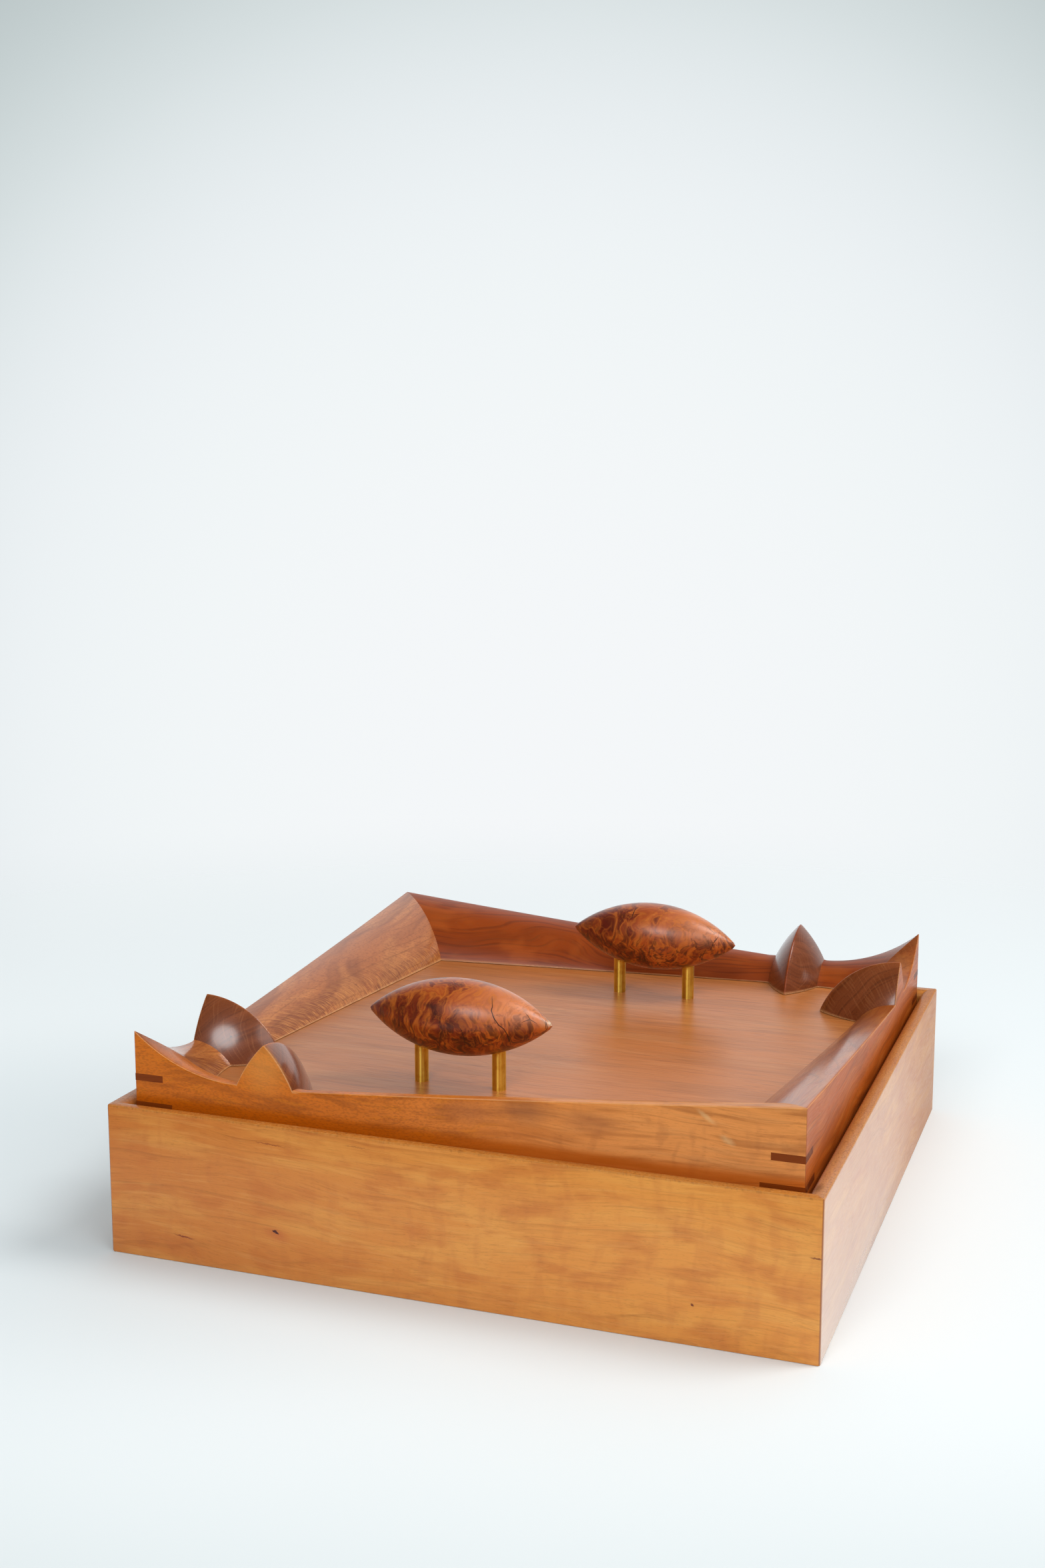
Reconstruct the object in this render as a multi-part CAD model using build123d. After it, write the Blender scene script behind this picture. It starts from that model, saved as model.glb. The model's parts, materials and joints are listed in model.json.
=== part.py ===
from build123d import *
import os

# Keepsake box of cherry with a lid that lifts off.
# The base is four mitred walls round a grooved-in bottom.
# The lid is a tray: four mitred rails round a flat panel, with two turned handles on brass rods.
# The four rails are the quarters of one turned spindle, so each one is a quarter round that
# tapers from a full corner down to a waist, swells into a thin disc (the fin) and then sweeps
# up again to a full corner (the horn). The two horns stand at opposite corners of the lid.
# Millimetres, +Z up, +X to the right along the front, +Y to the back.
# The origin is the middle of the box's underside.

# Base
BOX_SIDE = 400.0
BOX_HEIGHT = 86.0
WALL = 9.5
RIM_ROUND = 5.5
BOTTOM_THICK = 6.0
BOTTOM_RAISE = 6.0
BOTTOM_GROOVE = 4.0
BOTTOM_GAP = 0.5

# Ledge strips on the inside of the walls, which carry the lid
LEDGE_THICK = 9.0
LEDGE_HIGH = 14.0

# Lid frame, from the turned spindle
LID_CLEARANCE = 2.25
LID_DROP = 14.2
CROWN_RADIUS = 55.7
WAIST_RADIUS = 31.6
QUARTERING_LOSS = 1.2
TAPER_SAG = 0.8
FIN_FROM_CORNER = 80.4
FIN_THICK = 47.0

# Lid panel, held in a groove in the rails
PANEL_TOP = 17.2
PANEL_THICK = 8.0
GROOVE_FROM_FACE = 16.0
PANEL_GAP = 1.0

# Wooden keys let into slots across the lid's mitres
KEY_THICK = 4.0
LOWER_KEY_LEG = 22.8
LOWER_KEY_RAISE = 10.0
UPPER_KEY_LEG = 17.4
UPPER_KEY_RAISE = 26.0

# Handles and their rods
HANDLE_LENGTH = 110.4
HANDLE_THICK = 43.5
HANDLE_TIP = 1.6
HANDLE_RAISE = 40.0
HANDLE_FROM_MIDDLE = 109.5
HANDLE_SHIFT = 25.3
BACK_HANDLE_TILT = 2.0
ROD_DIAMETER = 7.94
ROD_SPACING = 47.2
ROD_BITE = 15.0

# How far a cutting solid runs past what it cuts
OVERRUN = 5.0

HALF_TURN = 180.0
FULL_TURN = 360.0

HALF_BOX = BOX_SIDE / 2
INSIDE_HALF = HALF_BOX - WALL
LID_HALF = INSIDE_HALF - LID_CLEARANCE
LID_SIDE = 2 * LID_HALF
LID_UNDERSIDE = BOX_HEIGHT - LID_DROP
PANEL_LEVEL = LID_UNDERSIDE + PANEL_TOP
PANEL_UNDERSIDE = PANEL_LEVEL - PANEL_THICK
HANDLE_AXIS = PANEL_LEVEL + HANDLE_RAISE


def block(x_low, x_high, y_low, y_high, z_low, z_high):
    """A box between two corners."""
    solid = Box(x_high - x_low, y_high - y_low, z_high - z_low, align=(Align.MIN, Align.MIN, Align.MIN))
    return Pos(x_low, y_low, z_low) * solid


def mitre_wedge(half_side, depth, z_low, z_high):
    """The room of a front piece in plan: a trapezoid whose ends are 45 degree mitres."""
    plan = Polyline(
        (-half_side, -half_side),
        (half_side, -half_side),
        (half_side - depth, -half_side + depth),
        (-half_side + depth, -half_side + depth),
        close=True,
    )
    return Pos(0, 0, z_low) * extrude(make_face(plan), amount=z_high - z_low, dir=(0, 0, 1))


def around(front_piece, facing):
    """Turns a front piece to the wall it belongs to, or mirrors it where the hand changes."""
    if facing == "front":
        return front_piece
    if facing == "back":
        return Rot(0, 0, HALF_TURN) * front_piece
    left_piece = mirror(front_piece, about=Plane(origin=(0, 0, 0), z_dir=(1, -1, 0)))
    if facing == "left":
        return left_piece
    return Rot(0, 0, HALF_TURN) * left_piece


def front_wall():
    """One wall: a board with its inner top edge rounded over, grooved for the bottom."""
    outer_face = -HALF_BOX
    inner_face = -INSIDE_HALF
    round_start = (inner_face - RIM_ROUND, BOX_HEIGHT)
    round_end = (inner_face, BOX_HEIGHT - RIM_ROUND)
    outline = Polyline(round_end, (inner_face, 0), (outer_face, 0), (outer_face, BOX_HEIGHT), round_start)
    rounding = RadiusArc(round_start, round_end, RIM_ROUND)
    section = make_face(Plane.YZ * (outline + rounding))
    board = Pos(-HALF_BOX, 0, 0) * extrude(section, amount=BOX_SIDE, dir=(1, 0, 0))
    board = board & mitre_wedge(HALF_BOX, WALL, 0, BOX_HEIGHT)
    groove = block(
        -HALF_BOX,
        HALF_BOX,
        inner_face - BOTTOM_GROOVE,
        inner_face + OVERRUN,
        BOTTOM_RAISE,
        BOTTOM_RAISE + BOTTOM_THICK,
    )
    return board - groove


def box_bottom():
    """The base's bottom board, with a little room in its grooves."""
    half = INSIDE_HALF + BOTTOM_GROOVE - BOTTOM_GAP
    return block(-half, half, -half, half, BOTTOM_RAISE, BOTTOM_RAISE + BOTTOM_THICK)


def front_ledge():
    """A mitred strip on the wall's inner face; the lid rests on its top."""
    return mitre_wedge(INSIDE_HALF, LEDGE_THICK, LID_UNDERSIDE - LEDGE_HIGH, LID_UNDERSIDE)


def lens_radius(half_length, half_thick):
    """The radius of the two arcs that make a pointed lens of this length and thickness."""
    return (half_length ** 2 + half_thick ** 2) / (2 * half_thick)


def lens_half_thick(half_length, half_thick, place):
    """Half the thickness of the lens at a place along it, measured from its middle."""
    radius = lens_radius(half_length, half_thick)
    return (radius ** 2 - place ** 2) ** (1 / 2) - (radius - half_thick)


def spindle_section():
    """Half the turned spindle's outline, along X from its plain end, with the axis on Y = 0."""
    fin_half = FIN_THICK / 2
    fin_middle = LID_SIDE - FIN_FROM_CORNER
    fin_foot = lens_half_thick(CROWN_RADIUS, fin_half, WAIST_RADIUS)
    flank_place = (CROWN_RADIUS + WAIST_RADIUS) / 2
    flank_half = lens_half_thick(CROWN_RADIUS, fin_half, flank_place)
    near_foot = (fin_middle - fin_foot, WAIST_RADIUS)
    far_foot = (fin_middle + fin_foot, WAIST_RADIUS)
    fin_peak = (fin_middle, CROWN_RADIUS)
    taper_middle = (near_foot[0] / 2, flank_place - TAPER_SAG)
    outline = [
        Line((0, 0), (0, CROWN_RADIUS)),
        ThreePointArc((0, CROWN_RADIUS), taper_middle, near_foot),
        ThreePointArc(near_foot, (fin_middle - flank_half, flank_place), fin_peak),
        ThreePointArc(fin_peak, (fin_middle + flank_half, flank_place), far_foot),
        TangentArc(far_foot, (LID_SIDE, CROWN_RADIUS), tangent=(1, 0)),
        Line((LID_SIDE, CROWN_RADIUS), (LID_SIDE, 0)),
        Line((LID_SIDE, 0), (0, 0)),
    ]
    return make_face(outline)


def front_rail():
    """A quarter of the spindle: outer face in front, plain end on the right, horn on the left."""
    spindle = revolve(spindle_section(), axis=Axis.X, revolution_arc=FULL_TURN)
    spindle = mirror(spindle, about=Plane.YZ)
    placed = Pos(LID_HALF, -LID_HALF - QUARTERING_LOSS, LID_UNDERSIDE - QUARTERING_LOSS) * spindle
    room = mitre_wedge(LID_HALF, CROWN_RADIUS, LID_UNDERSIDE, LID_UNDERSIDE + CROWN_RADIUS)
    groove = block(
        -LID_HALF,
        LID_HALF,
        -LID_HALF + GROOVE_FROM_FACE,
        0,
        PANEL_UNDERSIDE,
        PANEL_LEVEL,
    )
    return placed & room - groove


def lid_panel(rods):
    """The lid's flat panel, with holes for the handles' rods."""
    half = LID_HALF - GROOVE_FROM_FACE - PANEL_GAP
    panel = block(-half, half, -half, half, PANEL_UNDERSIDE, PANEL_LEVEL)
    for rod in rods.values():
        panel = panel - rod
    return panel


def corner_key(side_x, side_y, leg, raised):
    """A triangular key across one mitre: its two short sides lie in the lid's outer faces."""
    corner = (side_x * LID_HALF, side_y * LID_HALF)
    along_x = (corner[0] - side_x * leg, corner[1])
    along_y = (corner[0], corner[1] - side_y * leg)
    plan = make_face(Polyline(corner, along_x, along_y, close=True))
    return extrude(Pos(0, 0, LID_UNDERSIDE + raised) * plan, amount=KEY_THICK, dir=(0, 0, 1))


def handle_body():
    """A turned lens shape lying along X, with its tips blunted."""
    half_length = HANDLE_LENGTH / 2
    half_thick = HANDLE_THICK / 2
    tip_radius = HANDLE_TIP / 2
    left_tip = (-half_length, tip_radius)
    right_tip = (half_length, tip_radius)
    outline = [
        Line((-half_length, 0), left_tip),
        ThreePointArc(left_tip, (0, half_thick), right_tip),
        Line(right_tip, (half_length, 0)),
        Line((half_length, 0), (-half_length, 0)),
    ]
    return revolve(make_face(outline), axis=Axis.X, revolution_arc=FULL_TURN)


def rod(x_middle, y_middle):
    """A brass rod from the panel's underside up into its handle."""
    low = PANEL_UNDERSIDE
    high = HANDLE_AXIS - lens_half_thick(HANDLE_LENGTH / 2, HANDLE_THICK / 2, ROD_SPACING / 2) + ROD_BITE
    solid = Cylinder(ROD_DIAMETER / 2, high - low, align=(Align.CENTER, Align.CENTER, Align.MIN))
    return Pos(x_middle, y_middle, low) * solid


def handle(x_middle, y_middle, tilt, rods):
    """A handle on its two rods, bored for them."""
    body = Pos(x_middle, y_middle, HANDLE_AXIS) * Rot(0, tilt, 0) * handle_body()
    for one_rod in rods:
        body = body - one_rod
    return body


def build_base():
    """Names and solids of the base."""
    nodes = {}
    for facing in ("front", "back", "left", "right"):
        nodes["base_wall_" + facing] = around(front_wall(), facing)
        nodes["lid_ledge_" + facing] = around(front_ledge(), facing)
    nodes["base_bottom"] = box_bottom()
    return nodes


def build_lid():
    """Names and solids of the lid."""
    nodes = {}
    keys = {}
    for x_name, side_x in (("left", -1), ("right", 1)):
        for y_name, side_y in (("front", -1), ("back", 1)):
            corner_name = y_name + "_" + x_name
            keys["lid_key_lower_" + corner_name] = corner_key(side_x, side_y, LOWER_KEY_LEG, LOWER_KEY_RAISE)
            keys["lid_key_upper_" + corner_name] = corner_key(side_x, side_y, UPPER_KEY_LEG, UPPER_KEY_RAISE)
    for facing in ("front", "back", "left", "right"):
        rail = around(front_rail(), facing)
        for name, key in keys.items():
            if facing in name:
                rail = rail - key
        nodes["lid_rail_" + facing] = rail
    nodes.update(keys)

    rods = {}
    for place, sign, tilt in (("front", -1, 0), ("back", 1, BACK_HANDLE_TILT)):
        x_middle = sign * HANDLE_SHIFT
        y_middle = sign * HANDLE_FROM_MIDDLE
        left_rod = rod(x_middle - ROD_SPACING / 2, y_middle)
        right_rod = rod(x_middle + ROD_SPACING / 2, y_middle)
        nodes["handle_" + place] = handle(x_middle, y_middle, tilt, (left_rod, right_rod))
        rods["handle_rod_" + place + "_left"] = left_rod
        rods["handle_rod_" + place + "_right"] = right_rod
    nodes.update(rods)
    nodes["lid_panel"] = lid_panel(rods)
    return nodes


os.makedirs("parts", exist_ok=True)
for node_name, node_solid in {**build_base(), **build_lid()}.items():
    export_step(node_solid, os.path.join("parts", node_name + ".step"))
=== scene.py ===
"""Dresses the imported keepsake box: cherry boards, a lid of quartered turnings, burl handles on brass rods.

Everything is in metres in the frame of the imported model. Sizes that a maker would measure are written in
millimetres and turned to metres by MM.
"""

import json
import logging
import math
from dataclasses import dataclass, replace
from enum import Enum

import bmesh
import bpy
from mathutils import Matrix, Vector

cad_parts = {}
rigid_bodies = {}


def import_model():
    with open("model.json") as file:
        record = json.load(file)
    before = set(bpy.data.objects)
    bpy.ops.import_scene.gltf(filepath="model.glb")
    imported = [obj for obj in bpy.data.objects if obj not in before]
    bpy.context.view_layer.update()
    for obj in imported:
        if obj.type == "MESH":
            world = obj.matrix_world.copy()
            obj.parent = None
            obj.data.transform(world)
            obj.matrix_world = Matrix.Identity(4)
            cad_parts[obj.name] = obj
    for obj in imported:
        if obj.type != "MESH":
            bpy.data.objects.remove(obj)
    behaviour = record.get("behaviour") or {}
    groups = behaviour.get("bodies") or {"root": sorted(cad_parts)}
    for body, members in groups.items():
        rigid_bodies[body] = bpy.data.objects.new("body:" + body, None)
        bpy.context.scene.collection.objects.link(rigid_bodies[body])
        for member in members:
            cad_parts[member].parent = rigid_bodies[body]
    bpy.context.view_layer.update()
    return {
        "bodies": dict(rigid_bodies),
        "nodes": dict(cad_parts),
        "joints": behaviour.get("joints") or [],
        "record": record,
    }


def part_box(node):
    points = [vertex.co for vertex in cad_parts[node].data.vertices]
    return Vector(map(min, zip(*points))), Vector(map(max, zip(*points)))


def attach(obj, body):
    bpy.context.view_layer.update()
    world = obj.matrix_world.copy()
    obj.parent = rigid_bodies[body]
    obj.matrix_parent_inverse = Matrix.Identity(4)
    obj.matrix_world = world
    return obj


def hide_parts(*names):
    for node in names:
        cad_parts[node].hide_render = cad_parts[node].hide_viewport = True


MM = 0.001
LOG = logging.getLogger("keepsake_box")

Point = tuple[float, float, float]
Span = tuple[float, float]
Section = list[Span]
Socket = bpy.types.NodeSocket
Node = bpy.types.Node
Tree = bpy.types.NodeTree

# Names for the node kinds and settings that are used most.
MATH, VECTOR, NOISE = "ShaderNodeMath", "ShaderNodeVectorMath", "ShaderNodeTexNoise"
RANGE, MIX = "ShaderNodeMapRange", "ShaderNodeMix"
JOIN, SPLIT = "ShaderNodeCombineXYZ", "ShaderNodeSeparateXYZ"
SMOOTH = {"interpolation_type": "SMOOTHSTEP"}
COLOURS = {"data_type": "RGBA"}

TO_MM = (1 / MM, 1 / MM, 1 / MM)

# Values that a piece's mesh carries for its material.
CRACK_ATTRIBUTE = "crack_mm"
WORN_AND_HIGHLIGHT_ATTRIBUTE = "worn_and_highlight"

# Each layer of figure reads the same noise this far on, so that no two share a shape.
LAYER_STEP = 11.7
RIPPLE_NUMBER = 90
# How far the edge of a mark strays.
RAGGED = 1.6 * MM
# The middle point of an eased arris lies this share of the ease from both faces.
EASE_MIDDLE = 0.29
# Points closer than this are one.
WELD = 0.002 * MM
# Edges are worn and take a painted highlight from this many degrees on, and fully after as many more.
WORN_FROM, WORN_OVER = 25.0, 15.0
# Edges sharper than this many degrees are shaded as edges.
SHARP = 28.0

CORNERS = tuple(row + "_" + end for row in ("front", "back") for end in ("left", "right"))


class Side(Enum):
    """The four sides of the box."""

    FRONT = "front"
    BACK = "back"
    LEFT = "left"
    RIGHT = "right"


class Grain(Enum):
    """Which way a board's fibres run, as the turn about Z that brings them onto X."""

    ALONG_X = 0.0
    ALONG_Y = -math.pi / 2


class Space(Enum):
    """The frame that a layer of figure is drawn in."""

    PLACE = "the piece's own place"
    BOARD = "along the fibres, across them and up"
    TREE = "along the fibres, out from the pith and round it"
    RAYS = "as TREE, with the rays bowed where a turned face runs through them"


def linear(hex_colour: str) -> tuple[float, float, float, float]:
    """Turns an sRGB hex colour into the linear colour that sockets hold.

    Args:
        hex_colour: Six hex digits after a hash.

    Returns:
        Linear red, green, blue and an alpha of one.
    """
    parts = [int(hex_colour[place:place + 2], 16) / 255 for place in (1, 3, 5)]
    red, green, blue = (p / 12.92 if p <= 0.04045 else ((p + 0.055) / 1.055) ** 2.4 for p in parts)
    return (red, green, blue, 1.0)


def add_node(tree: Tree, kind: str, inputs: dict | None = None, **settings) -> Node:
    """Adds one node with its settings, and links or sets its inputs.

    Args:
        tree: The node tree to add to.
        kind: The node's type name.
        inputs: For each socket's name, identifier or place, a node or socket to link from, or a value.
        settings: Attributes of the node itself.

    Returns:
        The new node.
    """
    made = tree.nodes.new(kind)
    for name, value in settings.items():
        setattr(made, name, value)
    for key, value in (inputs or {}).items():
        if isinstance(key, int):
            socket = made.inputs[key]
        else:
            socket = next(s for s in made.inputs if key in (s.identifier, s.name) and s.enabled)
        if isinstance(value, Node):
            value = next(output for output in value.outputs if output.enabled)
        if isinstance(value, Socket):
            tree.links.new(value, socket)
        else:
            socket.default_value = value
    return made


def new_material(name: str, **constants: float) -> tuple[bpy.types.Material, Tree, Node]:
    """Makes a material with a Principled shader on its output.

    Args:
        name: The material's name.
        constants: Values set on the shader's sockets, with underscores for the spaces in their names.

    Returns:
        The material, its node tree and the shader node.
    """
    material = bpy.data.materials.new(name)
    material.use_nodes = True
    tree = material.node_tree
    tree.nodes.clear()
    values = {key.replace("_", " "): value for key, value in constants.items()}
    shader = add_node(tree, "ShaderNodeBsdfPrincipled", values)
    add_node(tree, "ShaderNodeOutputMaterial", {"Surface": shader})
    return material, tree, shader


def plug(tree: Tree, shader: Node, **sources: Node | Socket) -> None:
    """Links nodes or sockets into a shader's sockets.

    Args:
        tree: The node tree.
        shader: The shader.
        sources: What to link, by the socket's name with underscores for its spaces.
    """
    for key, source in sources.items():
        if isinstance(source, Node):
            source = next(output for output in source.outputs if output.enabled)
        tree.links.new(source, shader.inputs[key.replace("_", " ")])


def fill_ramp(ramp: bpy.types.ColorRamp, stops: tuple[tuple[float, str], ...]) -> None:
    """Sets a colour ramp's stops.

    Args:
        ramp: The ramp, as a new node has it.
        stops: Each stop's position and sRGB hex colour, lowest first.
    """
    ramp.elements[0].position, ramp.elements[1].position = stops[0][0], stops[-1][0]
    ramp.elements[0].color, ramp.elements[1].color = linear(stops[0][1]), linear(stops[-1][1])
    for position, colour in stops[1:-1]:
        ramp.elements.new(position).color = linear(colour)


@dataclass(frozen=True)
class Fade:
    """Lets a layer show only past a place on an axis, from where it starts to where it is full."""

    axis: str
    start_mm: float
    full_mm: float


@dataclass(frozen=True)
class Figure:
    """One layer of a wood's figure: a noise with grains of a real size, laid over what is under it."""

    colour: str
    strength: float
    grain_mm: Point
    low: float
    high: float
    detail: float = 2.0
    space: Space = Space.BOARD
    fades: tuple[Fade, ...] = ()


def tint(colour: str, strength: float, *fades: Fade) -> Figure:
    """A layer without grain that only shades one colour into another."""
    return Figure(colour, strength, (900.0, 900.0, 900.0), -1.0, -0.5, 0.0, Space.PLACE, fades)


@dataclass(frozen=True)
class Mark:
    """A knot, gum streak, pore or stain: an egg-shaped spot at a measured place."""

    colour: str
    centre_mm: Point
    reach_mm: Point
    tilt: float
    strength: float
    core: float


def grained(tree: Tree, at: Socket | Node, grain: Point, detail: float = 2.0, away: float = 0.0) -> Node:
    """Reads a noise whose grains have a given size.

    Args:
        tree: The node tree.
        at: Places, in the unit of the grain.
        grain: A grain's size along each axis.
        detail: How many finer noises are laid on it.
        away: Moves it away from other noises of the same grain.

    Returns:
        The noise.
    """
    fine, far = tuple(1 / size for size in grain), (away,) * 3
    scaled = add_node(tree, VECTOR, {0: at, 1: fine, 2: far}, operation="MULTIPLY_ADD")
    return add_node(tree, NOISE, {"Vector": scaled, "Scale": 1.0, "Detail": detail})


def pushed(tree: Tree, at: Socket | Node, noise: Node, far: float) -> Node:
    """Pushes places about by the colours of a noise.

    Args:
        tree: The node tree.
        at: The places.
        noise: The noise read at them.
        far: How far a full colour pushes, in the unit of the places.

    Returns:
        The pushed places.
    """
    centred = add_node(tree, VECTOR, {0: noise.outputs["Color"], 1: (0.5, 0.5, 0.5)}, operation="SUBTRACT")
    return add_node(tree, VECTOR, {0: centred, 1: (far,) * 3, 2: at}, operation="MULTIPLY_ADD")


def lay(
    tree: Tree, under: Socket | Node | tuple, colour: str, value: Socket | Node, span: Span,
    strength: float | Node = 1.0,
) -> Node:
    """Lays a colour over another where a value runs through a span.

    Args:
        tree: The node tree.
        under: The colour to lay it on.
        colour: The sRGB hex colour that is laid on it.
        value: What the span is measured on.
        span: Where the colour starts to show and where it shows most.
        strength: How much of it shows there.

    Returns:
        The new colour.
    """
    limits = {"Value": value, "From Min": span[0], "From Max": span[1], "To Max": strength}
    amount = add_node(tree, RANGE, limits, **SMOOTH)
    blend = {"Factor_Float": amount, "A_Color": under, "B_Color": linear(colour)}
    return add_node(tree, MIX, blend, **COLOURS)


@dataclass(frozen=True)
class OiledWood:
    """Solid wood under rubbed oil, whose figure is cut from one solid tree.

    Growth rings run round a pith, so a turned face shows the loops that a lathe uncovers. Faces that cut
    across the fibres drink the oil and turn dark. The oil is rubbed to a soft polish, and handling has
    worn it dull along the arrises, where a pale colour is laid that is partly wear and partly a painted
    highlight.
    """

    name: str
    grain: Grain
    pith_mm: Span
    base: str
    figures: tuple[Figure, ...]
    ring_mm: float
    ring_colour: str
    ring_strength: float
    ring_gap_mm: Point = (55.0, 12.0, 12.0)
    year_line: Span = (0.80, 0.97)
    year_stretch: float = 2.6
    end_base: str = "#763A18"
    end_figures: tuple[Figure, ...] = ()
    end_slope: Span = (0.22, 0.82)
    marks: tuple[Mark, ...] = ()
    fibre_mm: Point = (30.0, 0.55, 0.55)
    fibre_depth_mm: float = 0.012
    ripple: Figure | None = None
    ripple_depth_mm: float = 0.05
    wander_mm: float = 12.0
    wander_over_mm: Point = (150.0, 55.0, 55.0)
    radian_mm: float = 60.0
    ray_bow: float = 0.0
    ray_middle_mm: float = 0.0
    roughness: float = 0.36
    roughness_swing: Span = (-0.05, 0.07)
    polish: float = 0.3
    polish_roughness: float = 0.15
    polish_fades: tuple[Fade, ...] = ()
    least_polish: float = 0.3
    end_polish: float = 0.95
    specular: float = 0.22
    worn_and_highlight_colour: str = "#DDA56E"
    worn_and_highlight_share: Span = (0.25, 0.7)
    worn_roughness: float = 0.2

    def material(self) -> bpy.types.Material:
        """Builds the material.

        Returns:
            The finished material.
        """
        material, tree, shader = new_material(
            self.name,
            IOR=1.5,
            Specular_IOR_Level=self.specular,
            Coat_Roughness=self.polish_roughness,
            Coat_IOR=1.5,
        )
        place = add_node(tree, "ShaderNodeTexCoord")
        spaces = self._spaces(tree, place.outputs["Object"])
        side = self._layers(tree, spaces, self.base, self.figures)
        side = self._ring_lines(tree, spaces, side)
        fibre = grained(tree, spaces[Space.BOARD], self.fibre_mm)
        height = fibre
        if self.ripple:
            side, wave = self._layer(tree, spaces, side, self.ripple, RIPPLE_NUMBER)
            depth = self.ripple_depth_mm / self.fibre_depth_mm
            height = add_node(tree, MATH, {0: wave, 1: depth, 2: fibre}, operation="MULTIPLY_ADD")
        end = self._layers(tree, spaces, self.end_base, self.end_figures)
        share = self._end_share(tree, place.outputs["Normal"])
        colour = add_node(tree, MIX, {"Factor_Float": share, "A_Color": side, "B_Color": end}, **COLOURS)
        colour = draw_marks(tree, place.outputs["Object"], colour, self.marks)
        worn_and_highlight = add_node(tree, "ShaderNodeAttribute", attribute_name=WORN_AND_HIGHLIGHT_ATTRIBUTE).outputs["Fac"]
        least, most = self.worn_and_highlight_share
        limits = {"Value": fibre, "From Min": 0.3, "From Max": 0.6, "To Min": least, "To Max": most}
        rubbed = add_node(tree, RANGE, limits)
        worn_and_highlight = add_node(tree, MATH, {0: worn_and_highlight, 1: rubbed}, operation="MULTIPLY")
        # The pale colour on the arrises is partly wear and partly a painted highlight.
        pale = {"Factor_Float": worn_and_highlight, "A_Color": colour, "B_Color": linear(self.worn_and_highlight_colour)}
        colour = add_node(tree, MIX, pale, **COLOURS)
        low, high = (self.roughness + swing for swing in self.roughness_swing)
        limits = {"Value": fibre, "From Min": 0.3, "From Max": 0.7, "To Min": low, "To Max": high}
        rough = add_node(tree, RANGE, limits)
        rough = add_node(tree, MATH, {0: worn_and_highlight, 1: self.worn_roughness, 2: rough}, operation="MULTIPLY_ADD")
        coat = add_node(tree, RANGE, {"Value": share, "To Min": self.polish, "To Max": self.end_polish})
        coat = self._fade(tree, spaces, coat, self.polish_fades, self.least_polish)
        relief = {"Height": height, "Strength": 1.0, "Distance": self.fibre_depth_mm * MM}
        bump = add_node(tree, "ShaderNodeBump", relief)
        plug(tree, shader, Base_Color=colour, Roughness=rough, Coat_Weight=coat, Normal=bump)
        return material

    def _spaces(self, tree: Tree, place: Socket) -> dict[Space, Node]:
        """Builds the frames that the figure is drawn in, in millimetres.

        Args:
            tree: The material's node tree.
            place: Object coordinates.

        Returns:
            A vector for each frame. The pith is the X axis of all of them but PLACE.
        """
        measured = add_node(tree, "ShaderNodeMapping", {"Vector": place, "Scale": TO_MM})
        across, up = self.pith_mm
        shift = (0.0, -across, -up) if self.grain is Grain.ALONG_X else (0.0, across, -up)
        turn = {"Vector": place, "Location": shift, "Rotation": (0.0, 0.0, self.grain.value), "Scale": TO_MM}
        straight = add_node(tree, "ShaderNodeMapping", turn)
        # A tree isn't straight: its rings wander by some millimetres over a hand's breadth.
        board = pushed(tree, straight, grained(tree, straight, self.wander_over_mm), self.wander_mm * 2)
        parts = add_node(tree, SPLIT, {0: board}).outputs
        flat = add_node(tree, JOIN, {"Y": parts["Y"], "Z": parts["Z"]})
        reach = add_node(tree, VECTOR, {0: flat}, operation="LENGTH")
        turn = add_node(tree, MATH, {0: parts["Z"], 1: parts["Y"]}, operation="ARCTAN2")
        # One radian is written as its length in millimetres where the boards lie in the tree.
        arc = add_node(tree, MATH, {0: turn, 1: self.radian_mm}, operation="MULTIPLY")
        in_tree = add_node(tree, JOIN, {"X": parts["X"], "Y": reach, "Z": arc})
        off = add_node(tree, MATH, {0: reach, 1: self.ray_middle_mm}, operation="SUBTRACT")
        square = add_node(tree, MATH, {0: off, 1: off}, operation="MULTIPLY")
        bowed = add_node(tree, MATH, {0: square, 1: self.ray_bow, 2: parts["X"]}, operation="MULTIPLY_ADD")
        rays = add_node(tree, JOIN, {"X": bowed, "Y": reach, "Z": arc})
        return {Space.PLACE: measured, Space.BOARD: board, Space.TREE: in_tree, Space.RAYS: rays}

    def _layers(
        self, tree: Tree, spaces: dict[Space, Node], base: str, figures: tuple[Figure, ...]
    ) -> Socket | Node:
        """Lays figures over a base colour, one by one.

        Args:
            tree: The material's node tree.
            spaces: The frames from _spaces.
            base: The colour under all of them.
            figures: The layers, lowest first.

        Returns:
            The colour on top.
        """
        colour = add_node(tree, "ShaderNodeRGB").outputs[0]
        colour.default_value = linear(base)
        for number, figure in enumerate(figures):
            colour, _ = self._layer(tree, spaces, colour, figure, number)
        return colour

    def _layer(
        self, tree: Tree, spaces: dict[Space, Node], under: Socket | Node, figure: Figure, number: int
    ) -> tuple[Node, Node]:
        """Lays one figure over a colour.

        Args:
            tree: The material's node tree.
            spaces: The frames from _spaces.
            under: The colour to lay it on.
            figure: The layer.
            number: Its number, which moves its noise away from the other layers' noise.

        Returns:
            The new colour, and how much of the layer shows, from 0 to its strength.
        """
        away = LAYER_STEP * (number + 1)
        noise = grained(tree, spaces[figure.space], figure.grain_mm, figure.detail, away)
        limits = {"Value": noise, "From Min": figure.low, "From Max": figure.high, "To Max": figure.strength}
        amount = add_node(tree, RANGE, limits, **SMOOTH)
        amount = self._fade(tree, spaces, amount, figure.fades)
        blend = {"Factor_Float": amount, "A_Color": under, "B_Color": linear(figure.colour)}
        return add_node(tree, MIX, blend, **COLOURS), amount

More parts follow.
